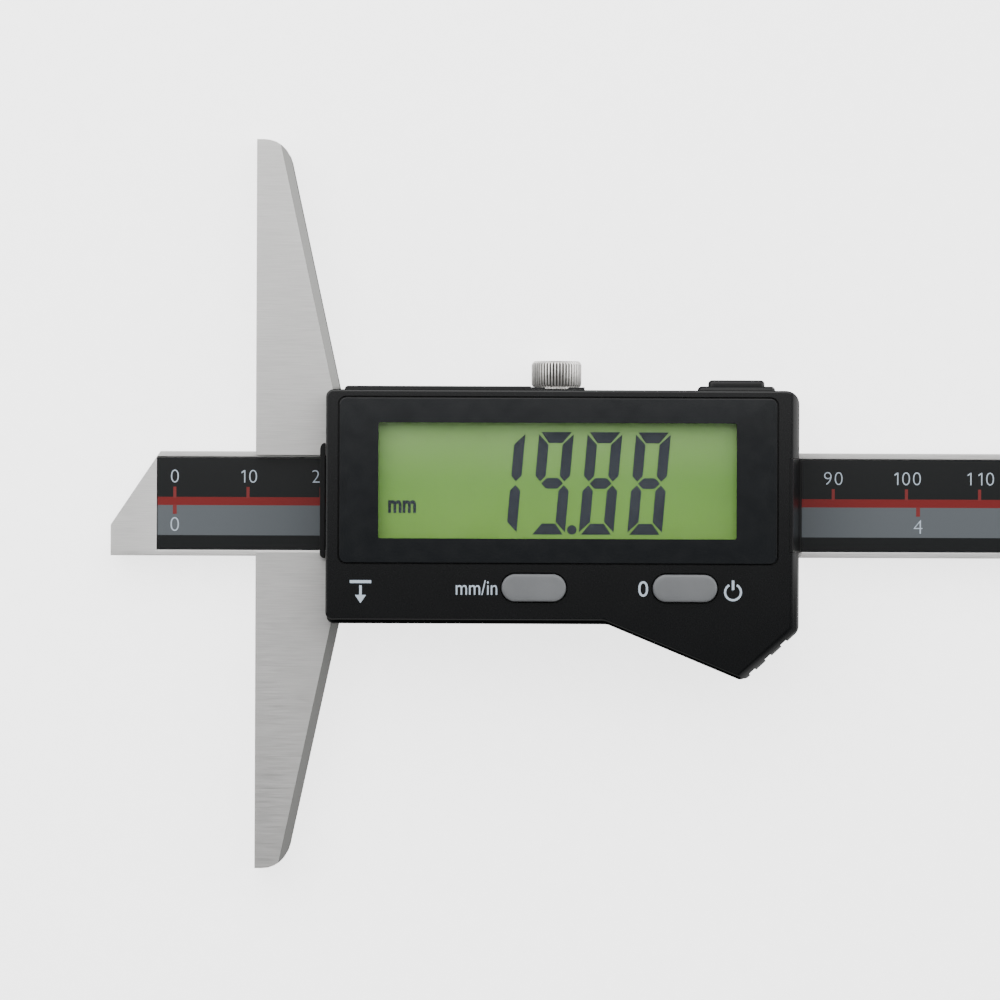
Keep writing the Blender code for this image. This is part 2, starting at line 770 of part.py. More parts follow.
def knurl_outline():
    """A ring of straight ridges, as a zigzag between two radii."""
    outline = []
    for i in range(2 * KNURL_COUNT):
        angle = math.pi * i / KNURL_COUNT
        radius = LOCK_HEAD_RADIUS if i % 2 else LOCK_HEAD_RADIUS - KNURL_DEPTH
        outline.append((radius * math.cos(angle), radius * math.sin(angle)))
    return outline


def make_lock_screw():
    axis = Vector((FACE_X + LOCK_AT, 0, BEAM_MIDDLE_Z))
    head = lock_head_y()
    top = head + LOCK_HEAD_LENGTH
    edge = LOCK_HEAD_RADIUS - LOCK_HEAD_CHAMFER
    low, high = head - LOCK_NECK_LENGTH, top + OVERRUN
    tip = GIB_WALL_Y + LOCK_PAD_LENGTH + SLIDE_GAP
    turn = Matrix.Translation(axis) @ UPRIGHT
    screw = plate("lock_screw", [knurl_outline()], head, top, turn=turn)
    blank = [
        (0, top + OVERRUN),
        (edge - OVERRUN, high),
        (LOCK_HEAD_RADIUS + OVERRUN, top - LOCK_HEAD_CHAMFER - OVERRUN),
        (LOCK_HEAD_RADIUS + OVERRUN, head + LOCK_HEAD_CHAMFER + OVERRUN),
        (edge - OVERRUN, head - OVERRUN),
        (0, head - OVERRUN),
    ]
    boolean(screw, turned("lock_head_blank", blank, axis, "Y", FINE_STEPS, CUTTERS), "INTERSECT")
    shank = [
        (0, head + LOCK_NECK_LENGTH),
        (LOCK_NECK_RADIUS, head + LOCK_NECK_LENGTH),
        (LOCK_NECK_RADIUS, low),
        (LOCK_THREAD_RADIUS, low),
        (LOCK_THREAD_RADIUS, tip),
        (0, tip),
    ]
    boolean(screw, turned("lock_shank", shank, axis, "Y", home=CUTTERS), "UNION")
    set_origin(screw, axis)
    return finish(screw, bright_steel())


def housing_corners():
    """The back shell's outline, anticlockwise from its lower left corner, without the rim."""
    left, right = FACE_X + HOUSING_AT, FACE_X + HOUSING_REACH
    return [
        (left, -HOUSING_BOTTOM),
        (FACE_X + HUMP_AT, -HOUSING_BOTTOM),
        (FACE_X + HUMP_TIP_AT, -HUMP_TIP_DROP),
        (right, -RIB_TOP_DROP),
        (right, HOUSING_TOP),
        (left, HOUSING_TOP),
    ]


def cover_outline(depth=0.0, right_depth=None):
    """The front cover's outline, or one that runs inside it at a depth."""
    right_depth = depth if right_depth is None else right_depth
    distances = [COVER_BOTTOM_INSET + depth, COVER_SLOPE_INSET + depth, depth, right_depth, depth, depth]
    corners = inset(housing_corners(), distances)
    outer = [CORNER_RADIUS, CORNER_RADIUS, RIB_TOP_RADIUS, TOP_RIGHT_RADIUS, CORNER_RADIUS]
    radii = [max(radius - depth, SEAT_GAP) for radius in outer]
    radii.insert(1, HUMP_RADIUS + depth)
    return rounded(corners, radii)


def skirt_start_x():
    """Where the back shell's skirt begins, just behind the base."""
    return FACE_X + base_depth_at(FRAME_WIDTH / 2) + SEAT_GAP


def shell_outline():
    corners = housing_corners()
    rim_top = HOUSING_TOP + RIM_HEIGHT
    rim_end = FACE_X + RIM_REACH
    rim_start = FACE_X + RIM_AT
    rim = [(rim_end, HOUSING_TOP), (rim_end, rim_top), (rim_start, rim_top), (rim_start, HOUSING_TOP)]
    radii = [CORNER_RADIUS, HUMP_RADIUS, CORNER_RADIUS, RIB_TOP_RADIUS, TOP_RIGHT_RADIUS]
    radii += [0, SLIDE_GAP, RIM_HEIGHT - SLIDE_GAP, 0, CORNER_RADIUS]
    return rounded(corners[:5] + rim + corners[5:], radii)


def rib_notches():
    """The cutters that leave the thumb ribs along the hump's slanted end."""
    top, tip = Vector(housing_corners()[3]), Vector(housing_corners()[2])
    along = (tip - top).normalized()
    cutters = []
    for i in range(RIB_NOTCH_COUNT):
        middle = top + along * (RIB_NOTCH_FIRST + i * RIB_NOTCH_PITCH)
        half = RIB_NOTCH_WIDTH / 2
        low = (-half, -OVERRUN, -OVERRUN)
        notch = box(f"rib_notch_{i}", low, (half, RIB_NOTCH_DEPTH, COVER_FRONT + OVERRUN), CUTTERS)
        turn = Matrix.Rotation(math.atan2(-along.y, -along.x), 4, "Z")
        notch.matrix_world = Matrix.Translation((*middle, 0)) @ turn @ Matrix.Translation(notch.location)
        cutters.append(notch)
    return cutters


def right_wiper_notch():
    half = RIGHT_WIPER_WIDTH / 2 + SEAT_GAP
    start, end = FACE_X + WIPER_NOTCH_AT, FACE_X + HOUSING_REACH + OVERRUN
    return box("right_wiper_notch", (start, -half, 0), (end, half, COVER_FRONT + OVERRUN), CUTTERS)


def contact_frame():
    """The frame of the side contact: its X runs out from the battery's axis."""
    place = Matrix.Translation((FACE_X + BATTERY_AT, -BATTERY_DROP, 0))
    return place @ Matrix.Rotation(math.radians(CONTACT_TURN_DEG), 4, "Z")


def body_room():
    """The cutter that clears the slider body under the back shell."""
    left, right = FACE_X + HOUSING_AT - OVERRUN, FACE_X + HOUSING_REACH + OVERRUN
    skirt, half = skirt_start_x(), FRAME_WIDTH / 2 + SEAT_GAP
    wide = HUMP_TIP_DROP + OVERRUN
    lower = [(left, -wide), (skirt, -wide), (skirt, -half), (right, -half)]
    corners = lower + [(x, -y) for x, y in reversed(lower)]
    return plate("body_room", [corners], -OVERRUN, SHELL_UNDERSIDE, CUTTERS)


def shell_cutters(rib_cutters, wiper_cutter):
    battery = (FACE_X + BATTERY_AT, -BATTERY_DROP, 0)
    lock = (FACE_X + LOCK_AT, 0, BEAM_MIDDLE_Z)
    pocket_half = LOCK_HEAD_RADIUS + SLIDE_GAP
    pocket_low = HOUSING_TOP + RIM_HEIGHT - LOCK_POCKET_DEPTH
    link_half = LINK_WIDTH / 2 + SEAT_GAP
    link_start = FACE_X + LINK_AT - SEAT_GAP
    link_end = FACE_X + LINK_AT + LINK_LENGTH + SEAT_GAP
    foot_half = wiper_foot_half() + SEAT_GAP
    foot_end = FACE_X + HOUSING_AT + WIPER_FOOT_LENGTH + SEAT_GAP
    above = SHELL_HIGH + OVERRUN
    bore_top = BATTERY_HIGH + SLIDE_GAP
    cutters = [
        rod("battery_bore", BATTERY_BORE, -OVERRUN, bore_top, battery, steps=FINE_STEPS, home=CUTTERS),
        rod("contact_opening", BATTERY_BUTTON_RADIUS - OVERRUN, 0, above, battery, home=CUTTERS),
        rod(
            "lock_clearance",
            LOCK_THREAD_RADIUS + SEAT_GAP,
            0,
            HOUSING_TOP + OVERRUN,
            lock,
            "Y",
            home=CUTTERS,
        ),
        box(
            "lock_pocket",
            (lock[0] - pocket_half, pocket_low, 0),
            (lock[0] + pocket_half, pocket_low + OVERRUN, above),
            CUTTERS,
        ),
        box("link_opening", (link_start, -link_half, 0), (link_end, link_half, above), CUTTERS),
        box(
            "left_wiper_notch",
            (FACE_X + HOUSING_AT - OVERRUN, -foot_half, 0),
            (foot_end, foot_half, above),
            CUTTERS,
        ),
        wiper_cutter,
    ]
    slot_half = CONTACT_WIDTH / 2 + SEAT_GAP
    slot_end = BATTERY_BORE + SLIDE_GAP + CONTACT_THICK + SEAT_GAP
    slot_low = (BATTERY_RADIUS - SEAT_GAP, -slot_half, BATTERY_LOW)
    slot = box("contact_slot", slot_low, (slot_end, slot_half, above), CUTTERS)
    slot.matrix_world = contact_frame() @ Matrix.Translation(slot.location)
    cutters.append(slot)
    return cutters + rib_cutters


def make_back_shell(rib_cutters, wiper_cutter):
    shell = plate("back_shell", [shell_outline()], SHELL_LIFT, SHELL_HIGH)
    soften(shell, SHELL_EDGE)
    boolean(shell, body_room())
    root = SHELL_HIGH - SEAT_GAP - SLIDE_GAP
    battery = (FACE_X + BATTERY_AT, -BATTERY_DROP, 0)
    low, around = SHELL_LIFT + SHELL_EDGE, FINE_STEPS
    sleeve = rod("battery_sleeve", SLEEVE_RADIUS, low, root, battery, steps=around, home=CUTTERS)
    boolean(shell, sleeve, "UNION")
    for i, (x, y) in enumerate(screw_places()):
        top = BOARD_LOW - SLIDE_GAP
        post = rod(f"post_{i}", PILLAR_RADIUS, root, top, (x, y, 0), steps=SMALL_STEPS, home=CUTTERS)
        boolean(shell, post, "UNION")
        name, radius = f"shell_screw_hole_{i}", SCREW_RADIUS + SCREW_HOLE_GAP
        boolean(shell, rod(name, radius, 0, BOARD_HIGH, (x, y, 0), steps=SCREW_STEPS, home=CUTTERS))
    for cutter in shell_cutters(rib_cutters, wiper_cutter):
        boolean(shell, cutter)
    return finish(shell, black_plastic())


def cover_edge_weight(a, b):
    """Full on the rounded right side and the ribbed end, fine on the other edges of the front."""
    if min(a.z, b.z) < 0:
        return 0.0
    middle = (a + b) / 2
    along = (b - a).normalized()
    normal = Vector((along.y, -along.x))
    from_centre = Vector((middle.x - FACE_X - (HOUSING_AT + HOUSING_REACH) / 2, middle.y))
    if normal.dot(from_centre) < 0:
        normal = -normal
    rise = min(1.0, max(0.0, normal.x / COVER_FULL_EDGE_SHARE))
    return COVER_FINE_EDGE_SHARE + (1 - COVER_FINE_EDGE_SHARE) * rise


def stadium(x, y, length, width):
    """A slot-shaped outline round a centre."""
    half_length, half_width = length / 2, width / 2
    low = (x - half_length, y - half_width)
    return rounded_box(low, (x + half_length, y + half_width), half_width - SEAL_GAP)


def pane_outline(margin):
    low = (FACE_X + PANE_AT - margin, PANE_TOP - PANE_HEIGHT - margin)
    high = (FACE_X + PANE_AT + PANE_LENGTH + margin, PANE_TOP + margin)
    return rounded_box(low, high, PANE_RADIUS + margin)


def cover_cutters(rib_cutters, wiper_cutter):
    ceiling = COVER_CEILING
    window_low = (FACE_X + WINDOW_AT - WINDOW_MARGIN, WINDOW_LOW - WINDOW_MARGIN, ceiling - OVERRUN)
    window_end = FACE_X + WINDOW_AT + WINDOW_LENGTH + WINDOW_MARGIN
    window_high = (window_end, WINDOW_TOP + WINDOW_MARGIN, COVER_FRONT)
    port_x, port_half = FACE_X + PORT_AT, PORT_HEIGHT / 2
    port_low = (port_x - PORT_LENGTH / 2, 0, PORT_HEIGHT_AT - port_half)
    port_high = (port_x + PORT_LENGTH / 2, HOUSING_TOP + OVERRUN, PORT_HEIGHT_AT + port_half)
    cavity = cover_outline(COVER_WALL, COVER_RIGHT_WALL)
    cutters = [
        plate("pane_recess", [pane_outline(PANE_GROOVE)], PANE_SEAT, COVER_FRONT + OVERRUN, CUTTERS),
        box("window", window_low, window_high, CUTTERS),
        box("port_opening", port_low, port_high, CUTTERS),
        wiper_cutter,
    ]
    for i, at in enumerate((MODE_AT, ZERO_AT)):
        play = 4 * SLIDE_GAP
        outline = stadium(FACE_X + at, -BUTTON_DROP, BUTTON_LENGTH + play, BUTTON_WIDTH + play)
        name, low, high = f"button_hole_{i}", ceiling - OVERRUN, COVER_FRONT + OVERRUN
        cutters.append(plate(name, [outline], low, high, CUTTERS))
    hollow = plate("cavity", [cavity], COVER_LOW - OVERRUN, ceiling, CUTTERS)
    return hollow, cutters + rib_cutters


def screw_tip_z():
    return BOARD_HIGH + SCREW_BITE


def make_front_cover(rib_cutters, wiper_cutter):
    cover = plate("front_cover", [cover_outline()], COVER_LOW, COVER_FRONT)
    weigh_edges(cover, cover_edge_weight, COVER_EDGE, COVER_EDGE_SEGMENTS)
    cavity, cutters = cover_cutters(rib_cutters, wiper_cutter)
    boolean(cover, cavity)
    for i, (x, y) in enumerate(screw_places()):
        low, high = BOARD_HIGH + SLIDE_GAP, COVER_CEILING + SEAT_GAP
        place = (x, y, 0)
        pillar = rod(f"pillar_{i}", PILLAR_RADIUS, low, high, place, steps=SMALL_STEPS, home=CUTTERS)
        boolean(cover, pillar, "UNION")
        radius, top = SCREW_RADIUS + SLIDE_GAP, screw_tip_z() + SEAT_GAP
        hole = rod(f"pillar_hole_{i}", radius, 0, top, place, steps=SMALL_STEPS, home=CUTTERS)
        cutters.append(hole)
    for cutter in cutters:
        boolean(cover, cutter)
    return finish(cover, black_plastic())


def make_housing_seal(wiper_cutter):
    outer = cover_outline(SEAL_INSET)
    inner = cover_outline(SEAL_INSET + SEAL_WIDTH, SEAL_INSET + SEAL_RIGHT_WIDTH)
    low = SHELL_HIGH + SEAL_GAP
    seal = plate("housing_seal", [outer, inner], low, low + SEAL_THICK)
    boolean(seal, wiper_cutter)
    return finish(seal, black_rubber())


def make_window_pane():
    pane = plate("window_pane", [pane_outline(0)], PANE_LOW, PANE_LOW + PANE_THICK)
    return finish(pane, pane_black())


def make_display():
    left = FACE_X + WINDOW_AT - LCD_SIDE_MARGIN
    right = FACE_X + WINDOW_AT + WINDOW_LENGTH + LCD_SIDE_MARGIN
    glass = box("lcd_glass", (left, LCD_BOTTOM, LCD_LOW), (right, LCD_TOP, LCD_HIGH))
    finish(glass, lcd_green())
    top = STACK_LOW + LCD_STAND
    start, end = FACE_X + WINDOW_AT, FACE_X + PORT_AT - PORT_LENGTH / 2 - SEAT_GAP
    rows = {
        "elastomer_upper": (LCD_TOP - SEAT_GAP - ELASTOMER_WIDTH, LCD_TOP - SEAT_GAP),
        "elastomer_lower": (LCD_BOTTOM + SEAT_GAP, LCD_BOTTOM + SEAT_GAP + ELASTOMER_WIDTH),
    }
    for name, (low, high) in rows.items():
        finish(box(name, (start, low, STACK_LOW), (end, high, top)), grey_rubber())
    low = rows["elastomer_lower"][1] + SEAT_GAP
    high = rows["elastomer_upper"][0] - SEAT_GAP
    light = box("lcd_backlight", (left + SEAT_GAP, low, STACK_LOW), (right - SEAT_GAP, high, top))
    finish(light, backlight_white())


def circle(x, y, radius):
    """A small hole's outline."""
    turns = [2 * math.pi * i / SMALL_STEPS for i in range(SMALL_STEPS)]
    return [(x + radius * math.cos(turn), y + radius * math.sin(turn)) for turn in turns]


def socket_span():
    """The data socket's ends along X and its inner and outer faces along Y."""
    half = PORT_LENGTH / 2 - SEAT_GAP
    outer = HOUSING_TOP - COVER_WALL - SEAT_GAP
    return FACE_X + PORT_AT - half, FACE_X + PORT_AT + half, outer - SOCKET_DEPTH, outer


def make_boards():
    left = FACE_X + HOUSING_AT + COVER_WALL + SEAT_GAP
    right = FACE_X + HOUSING_REACH - COVER_RIGHT_WALL - SEAT_GAP
    half = BOARD_HEIGHT / 2
    socket_left, socket_right, socket_inner, _ = socket_span()
    inner = socket_inner - SEAT_GAP
    notch_right, notch_left = socket_right + SEAT_GAP, socket_left - SEAT_GAP
    outline = [(left, -half), (right, -half), (right, half), (notch_right, half), (notch_right, inner)]
    outline += [(notch_left, inner), (notch_left, half), (left, half)]
    holes = [circle(x, y, SCREW_RADIUS + SCREW_HOLE_GAP) for x, y in screw_places()]
    finish(plate("main_board", [outline] + holes, BOARD_LOW, BOARD_HIGH), board_green())
    sensor_low = LABEL_HIGH + SENSOR_LIFT
    sensor_high = sensor_low + SENSOR_THICK
    start = FACE_X + SENSOR_AT
    sensor_half = SLOT_HALF - SEAT_GAP
    sensor = box(
        "sensor_board", (start, -sensor_half, sensor_low), (start + SENSOR_LENGTH, sensor_half, sensor_high)
    )
    finish(sensor, board_green())
    link = box(
        "board_connector",
        (FACE_X + LINK_AT, -LINK_WIDTH / 2, sensor_high + SEAT_GAP),
        (FACE_X + LINK_AT + LINK_LENGTH, LINK_WIDTH / 2, BOARD_LOW - SEAT_GAP),
    )
    finish(link, chip_black())
    chips = (("controller_chip", CHIP_AT, CHIP_SIDE), ("radio_chip", RADIO_AT, RADIO_LENGTH))
    for name, at, length in chips:
        high = BOARD_LOW - SLIDE_GAP
        low = (FACE_X + at, CHIP_RISE, high - CHIP_THICK)
        finish(box(name, low, (FACE_X + at + length, CHIP_RISE + CHIP_SIDE, high)), chip_black())


def button_flange_low():
    return COVER_CEILING - SEAT_GAP - BUTTON_FLANGE_THICK


def make_button(name, at):
    x, y = FACE_X + at, -BUTTON_DROP
    low = button_flange_low()
    cap = plate(name, [stadium(x, y, BUTTON_LENGTH, BUTTON_WIDTH)], low, COVER_FRONT + BUTTON_PROUD)
    soften(cap, BUTTON_EDGE, 2)
    wide, high = BUTTON_LENGTH + 2 * BUTTON_FLANGE, BUTTON_WIDTH + 2 * BUTTON_FLANGE
    flange_top = low + BUTTON_FLANGE_THICK
    flange = plate(f"{name}_flange", [stadium(x, y, wide, high)], low, flange_top, CUTTERS)
    boolean(cap, flange, "UNION")
    set_origin(cap, Vector((x, y, COVER_FRONT)))
    return finish(cap, grey_rubber())


def make_keypad():
    left = FACE_X + MODE_AT - BUTTON_LENGTH / 2 - KEYPAD_MARGIN
    right = FACE_X + ZERO_AT + BUTTON_LENGTH / 2 + KEYPAD_MARGIN
    half = KEYPAD_WIDTH / 2
    low = (left, -BUTTON_DROP - half, STACK_LOW)
    mat = box("keypad_mat", low, (right, -BUTTON_DROP + half, STACK_LOW + KEYPAD_THICK))
    dome_top = button_flange_low() - BUTTON_TRAVEL - SLIDE_GAP
    for i, at in enumerate((MODE_AT, ZERO_AT)):
        place = (FACE_X + at, -BUTTON_DROP, 0)
        root = STACK_LOW + KEYPAD_THICK / 2
        dome = rod(f"dome_{i}", DOME_RADIUS, root, dome_top, place, steps=SMALL_STEPS, home=CUTTERS)
        boolean(mat, dome, "UNION")
    x, y = screw_places()[3]
    radius = PILLAR_RADIUS + SEAT_GAP
    notch = rod("keypad_notch", radius, BOARD_HIGH, LCD_LOW, (x, y, 0), steps=SMALL_STEPS, home=CUTTERS)
    boolean(mat, notch)
    return finish(mat, grey_rubber())


def make_housing_screws():
    low = SLIDE_GAP
    profile = [
        (0, screw_tip_z()),
        (SCREW_RADIUS, screw_tip_z()),
        (SCREW_RADIUS, SCREW_HEAD_HEIGHT),
        (SCREW_HEAD_RADIUS, low),
        (0, low),
    ]
    for i, (x, y) in enumerate(screw_places()):
        screw = turned(f"housing_screw_{i + 1}", profile, (x, y, 0), steps=SCREW_STEPS)
        key_radius = SCREW_HEAD_RADIUS * HEX_SHARE
        depth = SCREW_HEAD_HEIGHT * HEX_SHARE
        key = rod(f"housing_key_{i}", key_radius, -OVERRUN, depth, (x, y, 0), steps=6, home=CUTTERS)
        boolean(screw, key)
        finish(screw, bright_steel())


def bent_strip(name, path, width, frame):
    """A spring strip: its path, in the frame's X and Z, widened along the frame's Y and thickened."""
    mesh = bpy.data.meshes.new(name)
    shape = bmesh.new()
    verts = [shape.verts.new((x, -width / 2, z)) for x, z in path]
    edges = [shape.edges.new(pair) for pair in zip(verts, verts[1:])]
    made = bmesh.ops.extrude_edge_only(shape, edges=edges)
    moved = [item for item in made["geom"] if isinstance(item, bmesh.types.BMVert)]
    bmesh.ops.translate(shape, vec=(0, width, 0), verts=moved)
    shape.to_mesh(mesh)
    shape.free()
    obj = new_object(name, mesh, PARTS)
    obj.matrix_world = frame
    thick = obj.modifiers.new("sheet", "SOLIDIFY")
    thick.thickness = CONTACT_THICK
    thick.offset = 0
    thick.use_even_offset = True
    return finish(obj, contact_nickel())


def make_battery():
    axis = (FACE_X + BATTERY_AT, -BATTERY_DROP, BATTERY_LOW)
    shoulder = BATTERY_HEIGHT - BATTERY_BUTTON_HEIGHT
    profile = [
        (0, BATTERY_HEIGHT),
        (BATTERY_BUTTON_RADIUS, BATTERY_HEIGHT),
        (BATTERY_BUTTON_RADIUS, shoulder),
        (BATTERY_RADIUS - SEAT_GAP, shoulder),
        (BATTERY_RADIUS, shoulder - SEAT_GAP),
        (BATTERY_RADIUS, 0),
        (0, 0),
    ]
    finish(turned("battery", profile, axis, steps=FINE_STEPS), contact_nickel())
    top = BOARD_LOW - SEAT_GAP - CONTACT_THICK / 2
    leg = BATTERY_BORE + SLIDE_GAP + CONTACT_THICK / 2
    side = [(leg, BATTERY_LOW + SEAT_GAP), (leg, top), (leg + CONTACT_REACH, top)]
    bent_strip("positive_contact", side, CONTACT_WIDTH, contact_frame())
    battery = Matrix.Translation((FACE_X + BATTERY_AT, -BATTERY_DROP, 0))
    frame = battery @ Matrix.Rotation(math.pi / 2, 4, "Z")
    rest = BATTERY_HIGH + SEAT_GAP
    spring = [
        (-CONTACT_WIDTH / 2, rest),
        (CONTACT_WIDTH / 2, rest),
        (CONTACT_WIDTH, top),
        (BATTERY_BUTTON_RADIUS + CONTACT_REACH / 2, top),
    ]
    bent_strip("negative_contact", spring, CONTACT_WIDTH / 2, frame)


def make_battery_cap():
    axis = (FACE_X + BATTERY_AT, -BATTERY_DROP, SHELL_LIFT)
    radius = BATTERY_BORE - CAP_GAP
    ring_middle = BATTERY_BORE - O_RING_SQUEEZE_GAP - O_RING_SECTION
    floor = ring_middle - O_RING_SECTION - O_RING_SQUEEZE_GAP
    half = O_RING_SECTION + O_RING_SQUEEZE_GAP
    middle = CAP_THICK / 2
    profile = [
        (0, CAP_THICK),
        (radius, CAP_THICK),
        (radius, middle + half),
        (floor, middle + half),
        (floor, middle - half),
        (radius, middle - half),
        (radius, SLIDE_GAP),
        (radius - SLIDE_GAP, 0),
        (0, 0),
    ]
    cap = turned("battery_cap", profile, axis, steps=FINE_STEPS)
    x, y, z = axis
    low = (x - COIN_SLOT_LENGTH / 2, y - COIN_SLOT_WIDTH / 2, z - OVERRUN)
    high = (x + COIN_SLOT_LENGTH / 2, y + COIN_SLOT_WIDTH / 2, z + COIN_SLOT_DEPTH)
    boolean(cap, box("coin_slot", low, high, CUTTERS))
    finish(cap, black_plastic())
    bpy.ops.mesh.primitive_torus_add(
        major_segments=FINE_STEPS,
        minor_segments=SMALL_STEPS // 2,
        major_radius=ring_middle,
        minor_radius=O_RING_SECTION,
        location=(x, y, z + middle),
    )
    ring = bpy.context.object
    ring.name = "cap_o_ring"
    for home in list(ring.users_collection):
        home.objects.unlink(ring)
    PARTS.objects.link(ring)
    finish(ring, black_rubber(), 180)


def make_data_socket():
    left, right, inner, outer = socket_span()
    half = PORT_HEIGHT / 2 - SLIDE_GAP
    low, high = PORT_HEIGHT_AT - half, PORT_HEIGHT_AT + half
    socket = box("data_socket", (left, inner, low), (right, outer, high))
    wall = SEAT_GAP
    mouth = box(
        "socket_mouth",
        (left + wall, (inner + outer) / 2, low + wall),
        (right - wall, outer + OVERRUN, high - wall),
        CUTTERS,
    )
    boolean(socket, mouth)
    return finish(socket, chip_black())


def make_port_plug():
    x, z = FACE_X + PORT_AT, PORT_HEIGHT_AT

    def slab(name, length, height, low, high, radius, home):
        corner = (x + length / 2, height / 2 - z)
        outline = rounded_box((x - length / 2, -z - height / 2), corner, radius)
        return plate(name, [outline], low, high, home, UPRIGHT)

    low = HOUSING_TOP + SLIDE_GAP
    step = low + PLUG_FLANGE_THICK
    wide, tall = PLUG_FLANGE_LENGTH, PLUG_FLANGE_HEIGHT
    plug = slab("port_plug", wide, tall, low, step, PLUG_FLANGE_THICK, PARTS)
    soften(plug, PLUG_EDGE, 2)
    end = step + PLUG_STEP_THICK
    wide, tall = PLUG_STEP_LENGTH, PLUG_STEP_HEIGHT
    upper = slab("plug_step", wide, tall, low + SLIDE_GAP, end, PLUG_STEP_THICK, CUTTERS)
    soften(upper, PLUG_EDGE, 2)
    inner = HOUSING_TOP - COVER_WALL + SLIDE_GAP
    length, height = PORT_LENGTH - 2 * SLIDE_GAP, PORT_HEIGHT - 2 * SLIDE_GAP
    tongue = slab("plug_tongue", length, height, inner, low + SLIDE_GAP, SEAT_GAP, CUTTERS)
    boolean(plug, upper, "UNION")
    boolean(plug, tongue, "UNION")
    set_origin(plug, Vector((x, HOUSING_TOP, z)))
    return finish(plug, black_rubber())


def wiper_foot_half():
    return SLOT_HALF - SEAT_GAP


def make_left_wiper():
    seat = BODY_THICK + SLIDE_GAP
    fin_end = FACE_X + HOUSING_AT - WIPER_STANDOFF
    start = fin_end - WIPER_FIN
    corners = [
        (start, -WIPER_SHORT_SIDE),
        (fin_end, -WIPER_SHORT_SIDE),
        (fin_end, WIPER_LONG_SIDE),
        (start, WIPER_LONG_SIDE),
    ]
    outline = rounded(corners, [WIPER_FIN - SLIDE_GAP, 0, 0, WIPER_FIN - SLIDE_GAP])
    wiper = plate("left_wiper", [outline], seat, seat + WIPER_FIN_HEIGHT)
    end = FACE_X + HOUSING_AT + WIPER_FOOT_LENGTH
    foot_half = wiper_foot_half()
    foot_high = seat + WIPER_FOOT_HEIGHT
    foot_low = (fin_end - WIPER_FIN / 2, -foot_half, seat + SLIDE_GAP)
    foot = box("wiper_foot", foot_low, (end, foot_half, foot_high), CUTTERS)
    tongue_half = SLOT_HALF - SLIDE_GAP
    tongue_low = (start + SLIDE_GAP, -tongue_half, LIP_LOW)
    tongue_high = (end - SLIDE_GAP, tongue_half, foot_high - SEAT_GAP)
    tongue = box("wiper_tongue", tongue_low, tongue_high, CUTTERS)
    boolean(wiper, foot, "UNION")
    boolean(wiper, tongue, "UNION")
    return finish(wiper, black_rubber())


def make_right_wiper():
    """A curved blade that fills the notch in the housing's right side and closes the slot."""
    half = RIGHT_WIPER_WIDTH / 2
    back = FACE_X + WIPER_NOTCH_AT + SLIDE_GAP
    reach = FACE_X + RIGHT_WIPER_REACH
    low, lip, top = LIP_LOW, LIP_LOW + RIGHT_WIPER_LIP, COVER_FRONT - SEAT_GAP
    foot_x = back - WIPER_FOOT_LENGTH / 2
    foot_top = BODY_THICK + SLIDE_GAP
    steps = SMALL_STEPS // 2
    side = []
    for i in range(steps + 1):
        angle = math.pi / 2 * i / steps
        out, up = (reach - back) * math.cos(angle), (top - lip) * math.sin(angle)
        side.append((back + out, lip + up))
    profile = [(foot_x, low), (reach, low)] + side + [(back, foot_top), (foot_x, foot_top)]
    outline = [(x, -z) for x, z in profile]
    wiper = plate("right_wiper", [outline], -half, half, PARTS, UPRIGHT)
    return finish(wiper, black_rubber())


def centre_gauge():
    """Moves every part, with its cutters, so that the middle of the beam is over the origin."""
    for obj in bpy.data.objects:
        obj.location.x -= CENTRE_X


def main():
    rib_cutters = rib_notches()
    wiper_cutter = right_wiper_notch()
    make_slider_body()
    make_beam()
    make_scale_strip()
    make_end_stop()
    make_gib()
    make_lock_pad()
    make_lock_screw()
    make_back_shell(rib_cutters, wiper_cutter)
    make_front_cover(rib_cutters, wiper_cutter)
    make_housing_seal(wiper_cutter)
    make_window_pane()
    make_display()
    make_boards()
    make_button("mode_button", MODE_AT)
    make_button("zero_button", ZERO_AT)
    make_keypad()
    make_housing_screws()
    make_battery()
    make_battery_cap()
    make_data_socket()
    make_port_plug()
    make_left_wiper()
    make_right_wiper()
    centre_gauge()


main()
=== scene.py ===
# %% [markdown]
# # A digital depth gauge, dressed for its picture
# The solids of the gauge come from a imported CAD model, and their places never change here. This
# lesson adds what a camera sees on top of them: finer edges, printed scales, a display with its
# digits, and a finish for every surface. Sizes are in millimetres, counted along X from the base's
# measuring face and across Y from the beam's centreline, so they can be read off the real tool.

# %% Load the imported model
import math

